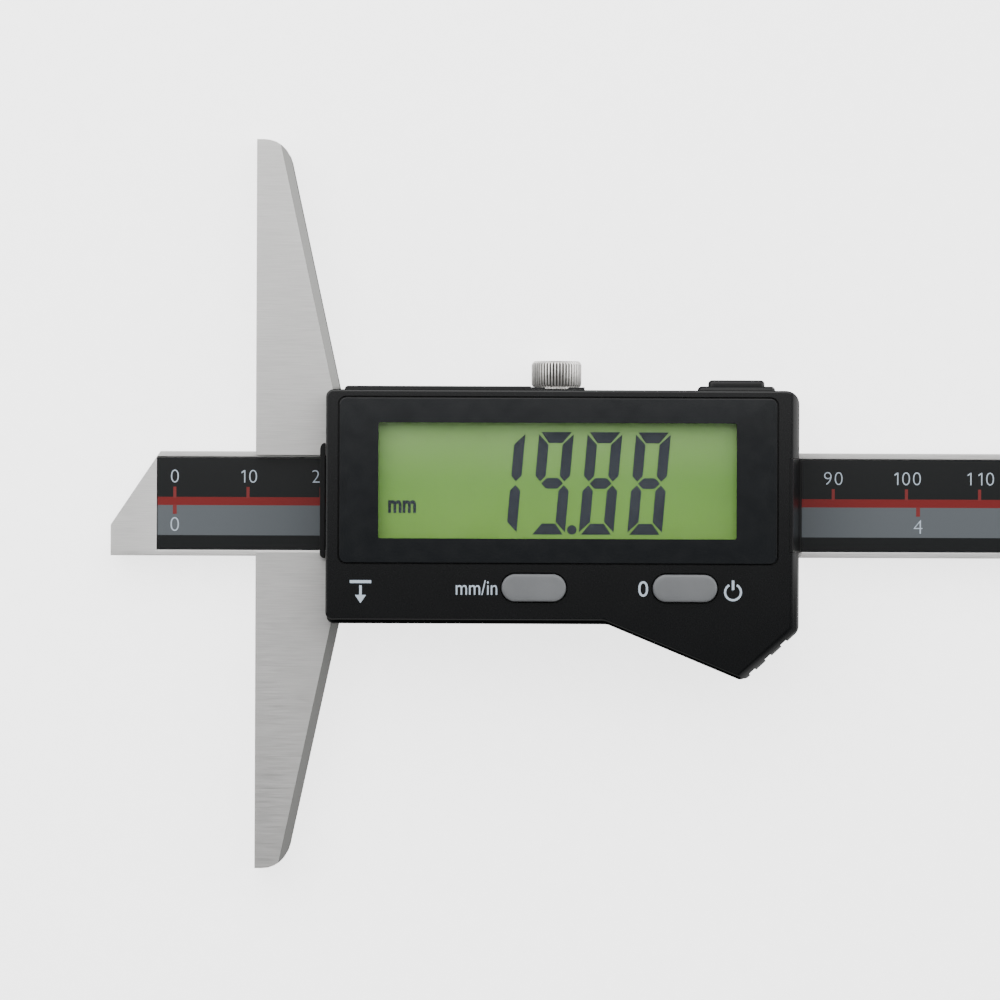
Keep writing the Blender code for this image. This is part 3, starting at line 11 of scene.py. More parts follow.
import bmesh
import bpy
from mathutils import Matrix, Vector
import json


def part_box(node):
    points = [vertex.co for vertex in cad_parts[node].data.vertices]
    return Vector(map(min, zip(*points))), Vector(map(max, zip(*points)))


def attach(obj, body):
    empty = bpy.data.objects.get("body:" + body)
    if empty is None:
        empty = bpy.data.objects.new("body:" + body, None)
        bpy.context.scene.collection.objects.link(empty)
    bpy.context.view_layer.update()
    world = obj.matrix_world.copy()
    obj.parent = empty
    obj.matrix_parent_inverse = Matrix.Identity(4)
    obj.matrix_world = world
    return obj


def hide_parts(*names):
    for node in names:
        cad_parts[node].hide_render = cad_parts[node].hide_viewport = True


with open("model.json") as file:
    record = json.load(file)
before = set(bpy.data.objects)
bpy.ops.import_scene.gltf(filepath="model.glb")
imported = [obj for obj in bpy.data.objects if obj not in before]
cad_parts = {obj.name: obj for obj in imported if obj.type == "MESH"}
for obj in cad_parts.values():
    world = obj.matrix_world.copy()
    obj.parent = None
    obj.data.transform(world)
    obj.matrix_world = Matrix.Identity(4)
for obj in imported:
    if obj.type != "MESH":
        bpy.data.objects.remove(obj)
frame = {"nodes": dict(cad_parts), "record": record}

for leftover in ("Cube", "Light", "Camera"):
    if leftover in bpy.data.objects:
        bpy.data.objects.remove(bpy.data.objects[leftover])
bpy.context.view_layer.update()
MM = 0.001
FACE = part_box("slider_body")[0].x

# %% [markdown]
# ## Where the camera stands
# The picture was taken straight from above with a long lens, so nearly nothing of the sides shows.
# The camera stands a metre over the gauge, a little right of the base. It is turned by a quarter of
# a degree, because the gauge lies that much askew in the picture.

# %% Camera
def at(x, y, z):
    """A point given in millimetres from the base's face, the centreline and the back."""
    return Vector((FACE + x * MM, y * MM, z * MM))


camera = bpy.data.objects.new("camera", bpy.data.cameras.new("camera"))
bpy.context.scene.collection.objects.link(camera)
camera.location = at(33.33, 0.61, 1000)
camera.rotation_euler = (0, 0, math.radians(0.22))
camera.data.sensor_width = 36
camera.data.lens = 262
bpy.context.scene.camera = camera
print("camera height in mm:", round(camera.location.z / MM))

# %% [markdown]
# ## Floor and light
# The picture is plain and without shadows, as on a light table in a light tent. The table is white
# opal acrylic, so bright that the film shows nothing of it but white. It lights nothing, throws no
# shadow and isn't mirrored. The tent's walls are white too, but dark straight above, where the
# camera looks in, dark low down, and duller on the near side. They are brightest at the right,
# where the table's glow shows low in them. Black plastic mirrors the dark spot above, and bevels
# mirror the walls. One soft panel hangs low over the far half, so what lies at the top of the
# picture is lighter.

# %% Floor and lights
def colour(code):
    """The linear colour of an sRGB hex value."""
    shares = [int(code[i : i + 2], 16) / 255 for i in (1, 3, 5)]
    linear = [s / 12.92 if s <= 0.04045 else ((s + 0.055) / 1.055) ** 2.4 for s in shares]
    return (*linear, 1.0)


def wire(node, settings=None, links=None):
    """Gives a node its settings and links. A link from a whole node takes its first output."""
    for key, value in (settings or {}).items():
        if key == "stops":
            band = node.color_ramp.elements
            while len(band) < len(value):
                band.new(1.0)
            for stop, (place, code) in zip(band, value):
                stop.position, stop.color = place, colour(code)
        elif key == "interpolation":
            node.color_ramp.interpolation = value
        elif isinstance(key, str) and hasattr(node, key):
            setattr(node, key, value)
        else:
            node.inputs[key].default_value = value
    for key, source in (links or {}).items():
        output = source.outputs[0] if hasattr(source, "outputs") else source
        node.id_data.links.new(output, node.inputs[key])
    return node


def add(tree, kind, settings=None, links=None):
    """Adds a node, of a kind named without Blender's "ShaderNode" before it, and wires it."""
    return wire(tree.nodes.new("ShaderNode" + kind), settings, links)


def new_finish(name):
    """A material with its shader, and the object coordinates that its patterns are laid out on."""
    made = bpy.data.materials.new(name)
    made.use_nodes = True
    tree = made.node_tree
    return made, tree, tree.nodes["Principled BSDF"], add(tree, "TexCoord").outputs["Object"]


def start(name, primitive, **settings):
    """Adds a primitive with nothing else selected, and puts its place into its mesh."""
    bpy.ops.object.select_all(action="DESELECT")
    primitive(**settings)
    made = bpy.context.object
    made.name = name
    bpy.ops.object.transform_apply(location=True, rotation=True, scale=True)
    return made


# A light table: white opal acrylic lit from below, with a trace of cloud in its colour.
floor_paint, tree, shader, place = new_finish("Opal acrylic light table")
grain = add(tree, "TexNoise", {"Scale": 1 / (2 * MM), "Detail": 2.0}, {"Vector": place})
tint = add(tree, "ValToRGB", {"stops": [(0.3, "#F6F6F6"), (0.7, "#F9F9F9")]}, {"Fac": grain})
lamp = {"Emission Strength": 2.8, "Roughness": 0.8, "Specular IOR Level": 0.2}
wire(shader, lamp, {"Base Color": tint, "Emission Color": tint})
floor = start("floor", bpy.ops.mesh.primitive_plane_add, size=4, location=(0, 0, -0.1 * MM))
floor.data.materials.append(floor_paint)
floor.visible_glossy = floor.visible_diffuse = floor.visible_shadow = False

world = bpy.data.worlds.new("light_tent")
world.use_nodes = True
tree = world.node_tree
direction = add(tree, "TexCoord").outputs["Generated"]
parts = add(tree, "SeparateXYZ", {}, {"Vector": direction})
both_ways = {"From Min": -1.0, "From Max": 1.0}
rise = add(tree, "MapRange", both_ways, {"Value": parts.outputs["Z"]})
stops = [(0.38, "#303132"), (0.46, "#FFFFFF"), (0.86, "#FFFFFF"), (0.95, "#3A3B3C")]
wall = add(tree, "ValToRGB", {"stops": stops}, {"Fac": rise})
depth = add(tree, "MapRange", both_ways, {"Value": parts.outputs["Y"]})
stops = [(0.20, "#B4B4B4"), (0.33, "#343434"), (0.41, "#343434"), (0.525, "#FFFFFF")]
side = add(tree, "ValToRGB", {"stops": stops}, {"Fac": depth})
# To the right, and a little towards the viewer, the tent is brighter, and the table shows low in it.
BRIGHT_SIDE, BRIGHTER_BY, BRIGHTNESS = (0.9, -0.43, 0.0), 1.7, 1.9
facing = add(tree, "VectorMath", {"operation": "DOT_PRODUCT", 1: BRIGHT_SIDE}, {0: direction})
right = add(tree, "MapRange", {"From Min": 0.3, "From Max": 0.8}, {"Value": facing.outputs["Value"]})
lift = add(tree, "Math", {"operation": "MULTIPLY_ADD", 1: BRIGHTER_BY, 2: BRIGHTNESS}, {0: right})
power = add(tree, "Math", {"operation": "MULTIPLY"}, {0: side, 1: lift})
under = add(tree, "MapRange", {"From Min": 0.0, "From Max": -0.2}, {"Value": parts.outputs["Z"]})
glow = add(tree, "Math", {"operation": "MULTIPLY"}, {0: right, 1: under})
around = add(tree, "Mix", {"data_type": "RGBA", "B": colour("#FFFFFF")}, {"Factor": glow, "A": wall})
wire(tree.nodes["Background"], {}, {"Color": around.outputs["Result"], "Strength": power})
bpy.context.scene.world = world

panel = bpy.data.objects.new("far_panel", bpy.data.lights.new("far_panel", "AREA"))
bpy.context.scene.collection.objects.link(panel)
panel.data.shape, panel.data.size, panel.data.energy = "SQUARE", 0.5, 1.68
panel.location = (-0.17, 0.28, 0.3)
panel.visible_camera = False

# %% [markdown]
# ## Tools for modelling by hand
# Every piece below starts as a primitive of its own size and place. It is then opened in edit mode,
# and edges or faces are picked by where they are, which is what a modeller does with the mouse.
# Nothing may stay selected by accident, because an operator acts on all that is selected.

# %% Modelling helpers
# Places nearer to each other than this, in millimetres, count as the same.
NEAR = 0.01


def activate(obj):
    """Makes one object the only selected and active one."""
    bpy.ops.object.select_all(action="DESELECT")
    bpy.context.view_layer.objects.active = obj
    obj.select_set(True)


def open_mesh(obj):
    activate(obj)
    bpy.ops.object.mode_set(mode="EDIT")


def close_mesh():
    bpy.ops.object.mode_set(mode="OBJECT")


def middle(item):
    """The middle of a vertex, edge or face, in the millimetres of this lesson."""
    points = [v.co for v in item.verts] if hasattr(item, "verts") else [item.co]
    centre = sum(points, Vector()) / len(points)
    return Vector((centre.x - FACE, centre.y, centre.z)) / MM


def box_of(node):
    """A node's lowest and highest corners, in the millimetres of this lesson."""
    return [((corner.x - FACE) / MM, corner.y / MM, corner.z / MM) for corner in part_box(node)]


def runs(edge, axis):
    """True for an edge that is parallel to X, Y or Z."""
    along = edge.verts[1].co - edge.verts[0].co
    return abs(along.normalized()["XYZ".index(axis)]) > 0.999


def pick(kind, test):
    """In edit mode, selects what passes the test and returns how many that are."""
    bpy.ops.mesh.select_mode(type=kind)
    bpy.ops.mesh.select_all(action="DESELECT")
    shape = bmesh.from_edit_mesh(bpy.context.object.data)
    group = {"VERT": shape.verts, "EDGE": shape.edges, "FACE": shape.faces}[kind]
    found = [item for item in group if test(item)]
    for item in found:
        item.select_set(True)
    shape.select_flush_mode()
    bmesh.update_edit_mesh(bpy.context.object.data)
    return len(found)


def block(name, low, high):
    """A cube primitive stretched between two corners, with its place put into its mesh."""
    low, high = Vector(low), Vector(high)
    bpy.ops.object.select_all(action="DESELECT")
    bpy.ops.mesh.primitive_cube_add(size=1)
    made = bpy.context.object
    made.name = name
    made.scale = (high - low) * MM
    made.location = at(*(low + high) / 2)
    bpy.ops.object.transform_apply(location=True, rotation=True, scale=True)
    return made


def cut(point, normal, **settings):
    """In edit mode, cuts the whole mesh along the plane through a point."""
    bpy.ops.mesh.select_all(action="SELECT")
    bpy.ops.mesh.bisect(plane_co=at(*point), plane_no=normal, **settings)


def shift(x, y, z):
    """In edit mode, moves what is selected by so many millimetres."""
    bpy.ops.transform.translate(value=(x * MM, y * MM, z * MM))


def draw_out(x, y, z):
    """In edit mode, extrudes what is selected by so many millimetres."""
    bpy.ops.mesh.extrude_region_move(TRANSFORM_OT_translate={"value": (x * MM, y * MM, z * MM)})


def face_out():
    """In edit mode, turns all faces outwards."""
    bpy.ops.mesh.select_all(action="SELECT")
    bpy.ops.mesh.normals_make_consistent(inside=False)


def copy_of(obj, move=(0, 0, 0)):
    """A copy with a mesh of its own, moved by so many millimetres."""
    activate(obj)
    bpy.ops.object.duplicate()
    bpy.ops.transform.translate(value=[step * MM for step in move])
    bpy.ops.object.transform_apply(location=True)
    return bpy.context.object


def round_edges(obj, radius, test, segments=8):
    """Rounds the edges that pass the test."""
    open_mesh(obj)
    count = pick("EDGE", test)
    bpy.ops.mesh.bevel(offset=radius * MM, segments=segments, affect="EDGES")
    close_mesh()
    return count


def rounded_block(name, low, high, radius, axis="Z", segments=8):
    """A block whose four edges along one axis are round."""
    made = block(name, low, high)
    round_edges(made, radius, lambda edge: runs(edge, axis), segments)
    return made


def apply_modifier(obj, kind, **settings):
    """Adds one modifier with its settings and applies it."""
    made = obj.modifiers.new(kind.lower(), kind)
    for key, value in settings.items():
        setattr(made, key, value)
    activate(obj)
    bpy.ops.object.modifier_apply(modifier=made.name)


def combine(obj, others, operation="DIFFERENCE"):
    """Cuts other shapes from a piece, or welds them to it, and clears them away."""
    for other in others:
        apply_modifier(obj, "BOOLEAN", object=other, operation=operation, solver="EXACT")
        bpy.data.objects.remove(other)


def soften(obj, width, segments=3, angle=40):
    """Breaks the sharp edges of a piece."""
    settings = {"width": width * MM, "segments": segments, "angle_limit": math.radians(angle)}
    apply_modifier(obj, "BEVEL", limit_method="ANGLE", **settings)


def dress(obj, finish, slot, body, *nodes):
    """Gives a piece its finish and shading, hangs it on the body that it rides on, and hides the solids
    that it stands for.
    """
    obj.data.materials.clear()
    obj.data.materials.append(finish)
    activate(obj)
    bpy.ops.object.shade_smooth_by_angle(angle=math.radians(35))
    apply_modifier(obj, "WEIGHTED_NORMAL", keep_sharp=True)
    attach(obj, body)
    if nodes:
        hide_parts(*nodes)
    size = [round(s / MM, 2) for s in obj.dimensions]
    print(f"{obj.name}: {len(obj.data.polygons)} faces, {size} mm")


# %% [markdown]
# ## Ground steel
# The base and the beam are hardened steel, ground on a surface grinder. The wheel leaves fine
# straight lines along the beam, a few hundredths of a millimetre apart. They are drawn 0.12 mm
# apart here, the finest that the picture can show, by a noise that is stretched along X. A second,
# slow noise makes the faint clouds that handling leaves on bare steel. The sloped sides of the base
# that face right get a darker painted shade, which a value kept with the mesh brings in.

# %% Ground steel finish
ground_steel, tree, shader, place = new_finish("Ground tool steel")
ALONG, ACROSS = 1 / (4 * MM), 1 / (0.12 * MM)
stretched = add(tree, "Mapping", {"Scale": (ALONG, ACROSS, ACROSS)}, {"Vector": place})
wheel = {"Scale": 1.0, "Detail": 4.0, "Roughness": 0.62}
lines = add(tree, "TexNoise", wheel, {"Vector": stretched})
clouds = add(tree, "TexNoise", {"Scale": 1 / (14 * MM), "Detail": 3.0}, {"Vector": place})
mixed = add(tree, "Math", {"operation": "MULTIPLY_ADD", 1: 0.35}, {0: clouds, 2: lines})
shade = add(tree, "ValToRGB", {"stops": [(0.40, "#CCCBC9"), (1.0, "#E4E3E1")]}, {"Fac": mixed})
# The right-facing slopes of the base are painted darker: a painted shade, read from a value kept with the
# mesh.
face_pattern = add(tree, "Attribute", {"attribute_name": "milled"})
links = {"Factor": face_pattern.outputs["Fac"], "A": shade}
shade = add(tree, "Mix", {"data_type": "RGBA", "B": colour("#858583")}, links)
# Nearly all values of a noise lie in this span, and a roughness is spread over it.
NOISE_SPAN = {"From Min": 0.3, "From Max": 0.7}
gloss = add(tree, "MapRange", {**NOISE_SPAN, "To Min": 0.42, "To Max": 0.52}, {"Value": lines})
relief = add(tree, "Bump", {"Strength": 0.2, "Distance": 0.002 * MM}, {"Height": lines})
links = {"Base Color": shade.outputs["Result"], "Roughness": gloss}
wire(shader, {"Metallic": 1.0}, {**links, "Normal": relief})
# The beam is ground and then lapped, so it is lighter and finer than the base.
lapped_steel = ground_steel.copy()
lapped_steel.name = "Lapped tool steel"
for node in lapped_steel.node_tree.nodes:
    if node.type == "VALTORGB":
        node.color_ramp.elements[0].color = colour("#DEDDDB")
        node.color_ramp.elements[1].color = colour("#F2F1EF")
print("ground steel nodes:", len(tree.nodes))

# %% [markdown]
# ## Bright turned steel
# The lock screw and the small screws are turned and plated. The plating is smoother than the ground
# faces, so it mirrors more, and only a fine mottle breaks the shine. The small metal parts inside
# are made by the same recipe, with other numbers.

# %% Plated steel finish
def metal(name, dark, light, rough, spread, grain_size, detail=4.0, edge=0.3):
    """A bare metal: a mottle, with its grain size in mm, of two near colours and of a roughness."""
    made, tree, shader, place = new_finish(name)
    mottle = add(tree, "TexNoise", {"Scale": 1 / (grain_size * MM), "Detail": detail}, {"Vector": place})
    tone = add(tree, "ValToRGB", {"stops": [(edge, dark), (1 - edge, light)]}, {"Fac": mottle})
    settings = {**NOISE_SPAN, "To Min": rough - spread, "To Max": rough + spread}
    gloss = add(tree, "MapRange", settings, {"Value": mottle})
    wire(shader, {"Metallic": 1.0}, {"Base Color": tone, "Roughness": gloss})
    return made


plated_steel = metal("Turned steel, nickel plated", "#B9B7B4", "#DAD9D6", 0.23, 0.07, 0.5, 5.0, 0.35)
print("plated steel nodes:", len(plated_steel.node_tree.nodes))

# %% [markdown]
# ## Moulded plastic and rubbers
# The housing is ABS from a mould with a fine spark-eroded skin: satin black, with a grain of about
# 0.2 mm that breaks up the light. Rubber is duller and a touch softer in colour. The keys are grey
# silicone with a light dusting of filler. The same recipe serves all of them: a cloud for the
# colour, a grain for roughness and relief. Only the numbers differ.

# %% Plastic and rubber finishes
def moulded(name, dark, light, rough, spread, grain_size, depth, level=0.5):
    """A moulded skin: two near colours, a roughness and its spread, a grain's size and depth in mm."""
    made, tree, shader, place = new_finish(name)
    cloud = add(tree, "TexNoise", {"Scale": 1 / (6 * MM), "Detail": 4.0}, {"Vector": place})
    settings = {"Scale": 1 / (grain_size * MM), "Detail": 2.0, "Roughness": 0.5}
    face_pattern = add(tree, "TexNoise", settings, {"Vector": place})
    stops = [(0.3, dark), (0.7, light)]
    tone = add(tree, "ValToRGB", {"stops": stops}, {"Fac": cloud})
    settings = {**NOISE_SPAN, "To Min": rough - spread, "To Max": rough + spread}
    gloss = add(tree, "MapRange", settings, {"Value": face_pattern})
    relief = add(tree, "Bump", {"Strength": 0.3, "Distance": depth * MM}, {"Height": face_pattern})
    wire(shader, {"Specular IOR Level": level}, {"Base Color": tone, "Roughness": gloss, "Normal": relief})
    return made


# Spark-eroded ABS: satin, deep black.
black_abs = moulded("Moulded ABS, satin black", "#08090A", "#0B0C0D", 0.27, 0.004, 0.22, 0.0005, 0.42)
# Compression-moulded nitrile: duller than the ABS beside it.
black_rubber = moulded("Nitrile rubber, black", "#08090A", "#0C0D0E", 0.40, 0.04, 0.30, 0.003, 0.3)
# A wiped blade of the same rubber, smoother than the rest.
blade_rubber = moulded("Nitrile rubber, glossy blade", "#060607", "#0A0A0B", 0.34, 0.02, 0.80, 0.001, 0.3)
# Silicone keys: mid grey, matt, with pale filler.
grey_silicone = moulded("Silicone rubber, grey", "#5F6163", "#696B6D", 0.55, 0.05, 0.18, 0.008)
# Epoxy chip bodies and connector shells.
chip_epoxy = moulded("Moulded epoxy, black", "#0B0B0C", "#111112", 0.6, 0.05, 0.15, 0.006)
print("nodes in a moulded finish:", len(black_abs.node_tree.nodes))

# %% [markdown]
# ## Small inner materials
# The parts inside show only when the gauge is taken apart or a cap is off, but each still gets what
# it is made of: bronze and brass with a turned grain, green solder mask over glass cloth, nickel
# spring strip, and the milky light plate.

# %% Inner finishes
# Rolled phosphor bronze strip.
bronze = metal("Phosphor bronze", "#A87C4C", "#BE9160", 0.34, 0.06, 0.8)
# Free-turning brass rod.
turned_brass = metal("Turned brass", "#C2A15A", "#D4B56C", 0.28, 0.06, 0.5)
# Nickel-plated spring strip and the cell's can.
nickel = metal("Nickel plating", "#C6C2B8", "#D8D5CC", 0.22, 0.06, 0.6)
# Solder mask over woven glass: green, with the cloth's 0.5 mm weave just showing.
board_mask, tree, shader, place = new_finish("Solder mask on glass epoxy")
cloth = {"Scale": 1 / (0.5 * MM), "Color1": colour("#1C5A35"), "Color2": colour("#1F6039")}
weave = add(tree, "TexChecker", cloth, {"Vector": place})
wire(shader, {"Roughness": 0.35}, {"Base Color": weave})
# Milky acrylic that spreads the light behind the display.
light_plate = moulded("Milky acrylic", "#E3E8DA", "#EEF2E6", 0.3, 0.04, 1.5, 0.002)

FINISH = {
    "ground_steel": ground_steel,
    "bright_steel": plated_steel,
    "board_green": board_mask,
    "gib_bronze": bronze,
    "brass": turned_brass,
    "black_plastic": black_abs,
    "black_rubber": black_rubber,
    "grey_rubber": grey_silicone,
    "chip_black": chip_epoxy,
    "contact_nickel": nickel,
    "backlight_white": light_plate,
    "wiper_gloss": blade_rubber,
}
for part in frame["record"]["subparts"]:
    node = frame["nodes"][part["node"]]
    if part["material_slot"] in FINISH:
        node.material_slots[0].material = FINISH[part["material_slot"]]
print("finishes by slot:", len(FINISH))

# %% [markdown]
# ## Finer copies of the solids
# The base, the end stop and the back shell already have the right shape, but a CAD mesh is loose
# triangles with knife-sharp edges. A copy of each is merged, the base's edges get the tiny break
# that a stone leaves on real steel, and each sloped face of it that faces right is marked for a
# darker painted shade. The rear shell's rim is drawn on to the lock screw's neck by two small
# ledges. The copy then stands for the solid, which stays in the model for its motion. Shading
# weighted by face size keeps the large faces flat up to the small edges.

# %% Base, end stop and back shell
def refine(node, name, edge=0.0):
    """A merged copy of a CAD solid, with its sharp edges broken by a width in millimetres."""
    made = bpy.data.objects.new(name, frame["nodes"][node].data.copy())
    bpy.context.scene.collection.objects.link(made)
    activate(made)
    bpy.ops.mesh.customdata_custom_splitnormals_clear()
    open_mesh(made)
    bpy.ops.mesh.select_all(action="SELECT")
    bpy.ops.mesh.remove_doubles(threshold=0.0005 * MM)
    bpy.ops.mesh.mark_sharp(clear=True)
    close_mesh()
    if edge:
        soften(made, edge, segments=2)
    return made


body = refine("slider_body", "body_ground", 0.10)
# Sloped faces of the base that face right are marked for a darker painted shade.
milled = body.data.attributes.new("milled", "FLOAT", "FACE")
for face in body.data.polygons:
    away = face.normal.x > 0.3 and face.normal.z < 0.9 and face.center.x < at(14, 0, 0).x
    milled.data[face.index].value = 1.0 if away else 0.0
print("milled faces:", sum(1 for value in milled.data if value.value), "of", len(milled.data))
dress(body, ground_steel, "ground_steel", "slider", "slider_body")
dress(refine("end_stop", "end_stop_ground"), ground_steel, "ground_steel", "beam", "end_stop")
shell = refine("back_shell", "shell_moulded")
ledges = []
for low, high in ((36.6, 39.4), (42.6, 44.8)):
    ledges.append(block("ledge", (low, 15.2, 7.2), (high, 16.0, 9.3)))
combine(shell, ledges, "UNION")
dress(shell, black_abs, "black_plastic", "slider", "back_shell")

# %% [markdown]
# ## The beam
# The beam is a flat bar with a slanted tip and a shallow trough for the scale. It is built as a
# fitter would: a bar is cut off along the slant, the trough's four sides are scribed across it by
# bisecting, and the floor between them is pushed down. The trough stops short of both ends.

# %% Beam
TIP_END, FAR_END = (corner[0] for corner in box_of("beam"))
HALF_BEAM, BEAM_TOP, TROUGH_DEPTH, TROUGH_HALF = 7.15, 5.3, 1.2, 6.35
TIP_FLAT, across_slant = 4.2, Vector((-10.1, 6.8, 0)).normalized()
TROUGH_FROM, TROUGH_TO = TIP_END + 6.3, FAR_END - 5.8
beam = block("beam_ground", (TIP_END, -HALF_BEAM, 1.8), (FAR_END, HALF_BEAM, BEAM_TOP))
open_mesh(beam)
cut((TIP_END, TIP_FLAT - HALF_BEAM, 0), across_slant, use_fill=True, clear_outer=True)
for x in (TROUGH_FROM, TROUGH_TO):
    cut((x, 0, 0), (1, 0, 0))
for y in (TROUGH_HALF, -TROUGH_HALF):
    cut((0, y, 0), (0, 1, 0))
in_trough = lambda f: TROUGH_FROM < middle(f).x < TROUGH_TO and abs(middle(f).y) < TROUGH_HALF
print("trough faces:", pick("FACE", lambda f: f.normal.z > 0.99 and in_trough(f)))
draw_out(0, 0, -TROUGH_DEPTH)
close_mesh()
soften(beam, 0.08, 2)
dress(beam, lapped_steel, "ground_steel", "beam", "beam")

# %% [markdown]
# ## The front cover
# The cover is a shallow moulded box. It starts as one block. Two cuts across it give the lower edge
# its corners, which are then pulled down into the thumb rest. The underside is inset by the wall
# and pushed up to hollow the box. Its upright corners are rounded one radius at a time.

# %% Cover body
LEFT, RIGHT, TOP = 9.75, 73.85, 15.53
BOTTOM, TIP, RIB_TOP = -15.68, (66.63, -23.64), -16.96
SLOPE_START = 47.47
COVER_LOW, CEILING, FRONT = 8.9, 13.6, 15.5

cover = block("cover_moulded", (LEFT, BOTTOM, COVER_LOW), (RIGHT, TOP, FRONT))
open_mesh(cover)
for x in (SLOPE_START, TIP[0]):
    cut((x, 0, 0), (1, 0, 0))
pick("VERT", lambda v: abs(middle(v).x - TIP[0]) < NEAR and middle(v).y < 0)
shift(0, TIP[1] - BOTTOM, 0)
pick("VERT", lambda v: middle(v).x > RIGHT - NEAR and middle(v).y < 0)
shift(0, RIB_TOP - BOTTOM, 0)
pick("FACE", lambda f: f.normal.z < -0.9)
bpy.ops.mesh.inset(thickness=1.6 * MM)
draw_out(0, 0, CEILING - COVER_LOW)
close_mesh()

# Each corner: its place and how far back along its sides the round begins.
corners = {
    (LEFT, BOTTOM): 1.0,
    (SLOPE_START, BOTTOM): 0.5,
    TIP: 0.64,
    (RIGHT, RIB_TOP): 0.7,
    (RIGHT, TOP): 1.9,
    (LEFT, TOP): 1.0,
}
for corner, setback in corners.items():
    upright_at_corner = lambda e: runs(e, "Z") and (Vector(corner) - middle(e).xy).length < 0.05
    round_edges(cover, setback, upright_at_corner)
print("cover corners:", len(corners))

# %% [markdown]
# ## The cover's front edge
# All round, the front has a fine edge, made by one bevel of its rim. Down the right side and the
# slanted end it is a wide soft round. That one is milled off, as it would be on the mould: a cutter
# is a bar with a hollow quarter round along its inner edge. It stands along the right side, and a
# copy is turned along the slanted end.

# %% Cover edge
FINE_EDGE, WIDE_EDGE = 0.3, 1.3


def on_rim(edge):
    sides = [face for face in edge.link_faces if abs(face.normal.z) < 0.1]
    return len(sides) == 1 and all(abs(v.co.z / MM - FRONT) < NEAR for v in edge.verts)


print("rim edges:", round_edges(cover, FINE_EDGE, on_rim, 4))

hollow_z = FRONT - WIDE_EDGE
bar = block("edge_cutter", (-WIDE_EDGE, -30, hollow_z), (3, 30, FRONT + 2))
hollow = start(
    "hollow",
    bpy.ops.mesh.primitive_cylinder_add,
    vertices=64,
    radius=WIDE_EDGE * MM,
    depth=80 * MM,
    location=at(-WIDE_EDGE, 0, hollow_z),
    rotation=(math.pi / 2, 0, 0),
)
combine(bar, [hollow])
bar.data.transform(Matrix.Translation((-FACE, 0, 0)))
slant_bar = copy_of(bar)
slant = Vector((TIP[0] - RIGHT, TIP[1] - RIB_TOP)).normalized()
turned = Matrix.Rotation(math.atan2(slant.y, slant.x) + math.pi / 2, 4, "Z")
slant_bar.data.transform(Matrix.Translation(at(RIGHT, RIB_TOP, 0)) @ turned)
bar.data.transform(Matrix.Translation(at(RIGHT, 0, 0)))
combine(cover, [bar, slant_bar])
print("cover faces after its edge:", len(cover.data.polygons))

# %% [markdown]
# ## Openings of the cover
# Cutters are blocks too. The pane sits in a recess with a gap of a quarter millimetre round it, the
# keys and the port have holes, the wiper a notch, and the thumb rest three ribs. The rib cutter is
# made once at the first place and copied down the slanted side.

# %% Cover openings
pane_low, pane_high = box_of("window_pane")
GAP = 0.25
recess_low = (pane_low[0] - GAP, pane_low[1] - GAP, 14.4)
recess_high = (pane_high[0] + GAP, pane_high[1] + GAP, 17)
recess = rounded_block("recess", recess_low, recess_high, 1.15)
window = block("window", (16.35, -5.1, 12), (65.85, 11.5, 15))
notch = block("notch", (72.5, -6.4, 0), (76, 6.4, 17))
PORT, PORT_HALF, PORT_LOW, PORT_HIGH = 65.4, 4, 9.5, 11.9
port = block("port", (PORT - PORT_HALF, 10, PORT_LOW), (PORT + PORT_HALF, 17, PORT_HIGH))
KEYS = {"mode_button": 37.94, "zero_button": 58.4}
KEY_Y, KEY_LENGTH, KEY_WIDTH = -11.25, 8.7, 3.68


def key_shape(name, x, margin, low, high, short=0.02, segments=16):
    """A block with nearly half-round ends round a key's middle, larger than the key by a margin."""
    half_x, half_y = KEY_LENGTH / 2 + margin, KEY_WIDTH / 2 + margin
    corners = (x - half_x, KEY_Y - half_y, low), (x + half_x, KEY_Y + half_y, high)
    return rounded_block(name, *corners, half_y - short, segments=segments)


holes = [key_shape(f"hole_{name}", x, 0.2, 12, 17) for name, x in KEYS.items()]

rib_from, rib_to = Vector((RIGHT, RIB_TOP)), Vector((66.35, -23.9))
down = (rib_to - rib_from).normalized()
RIB_SIZE, RIB_STEP = Vector((1.1, 0.54, 20)), 2.86
first = rib_from + down * 2.6
rib = start(
    "rib",
    bpy.ops.mesh.primitive_cube_add,
    size=1,
    location=at(first.x, first.y, 10),
    rotation=(0, 0, math.atan2(down.y, down.x)),
    scale=RIB_SIZE * MM,
)
ribs = [rib] + [copy_of(rib, (*(down * RIB_STEP * i), 0)) for i in (1, 2)]
combine(cover, [recess, window, notch, port] + holes + ribs)
dress(cover, black_abs, "black_plastic", "slider", "front_cover")

# %% [markdown]
# ## Keys
# Each key is a slot-shaped button of grey silicone that stands 0.8 mm proud. The block gets its
# half-round ends by a bevel nearly as wide as half the key, a softer edge round its top, and a
# slight crown by an inset face that is lifted a little. One key is made and copied.

# %% Keys
key_x = KEYS["mode_button"]
KEY_TOP = 16.22
key = key_shape("key_mode", key_x, 0, 12.6, KEY_TOP)
round_edges(key, 0.35, lambda e: middle(e).z > KEY_TOP - NEAR and not runs(e, "Z"), segments=5)
open_mesh(key)
pick("FACE", lambda f: f.normal.z > 0.99 and middle(f).z > KEY_TOP - NEAR)
bpy.ops.mesh.inset(thickness=0.5 * MM)
shift(0, 0, 0.05)
close_mesh()
combine(key, [key_shape("flange", key_x, 0.5, 12.5, 13.3, 0.1, 8)], "UNION")
key_zero = copy_of(key, (KEYS["zero_button"] - key_x, 0, 0))
key_zero.name = "key_zero"
dress(key, grey_silicone, "grey_rubber", "mode_button", "mode_button")
dress(key_zero, grey_silicone, "grey_rubber", "zero_button", "zero_button")

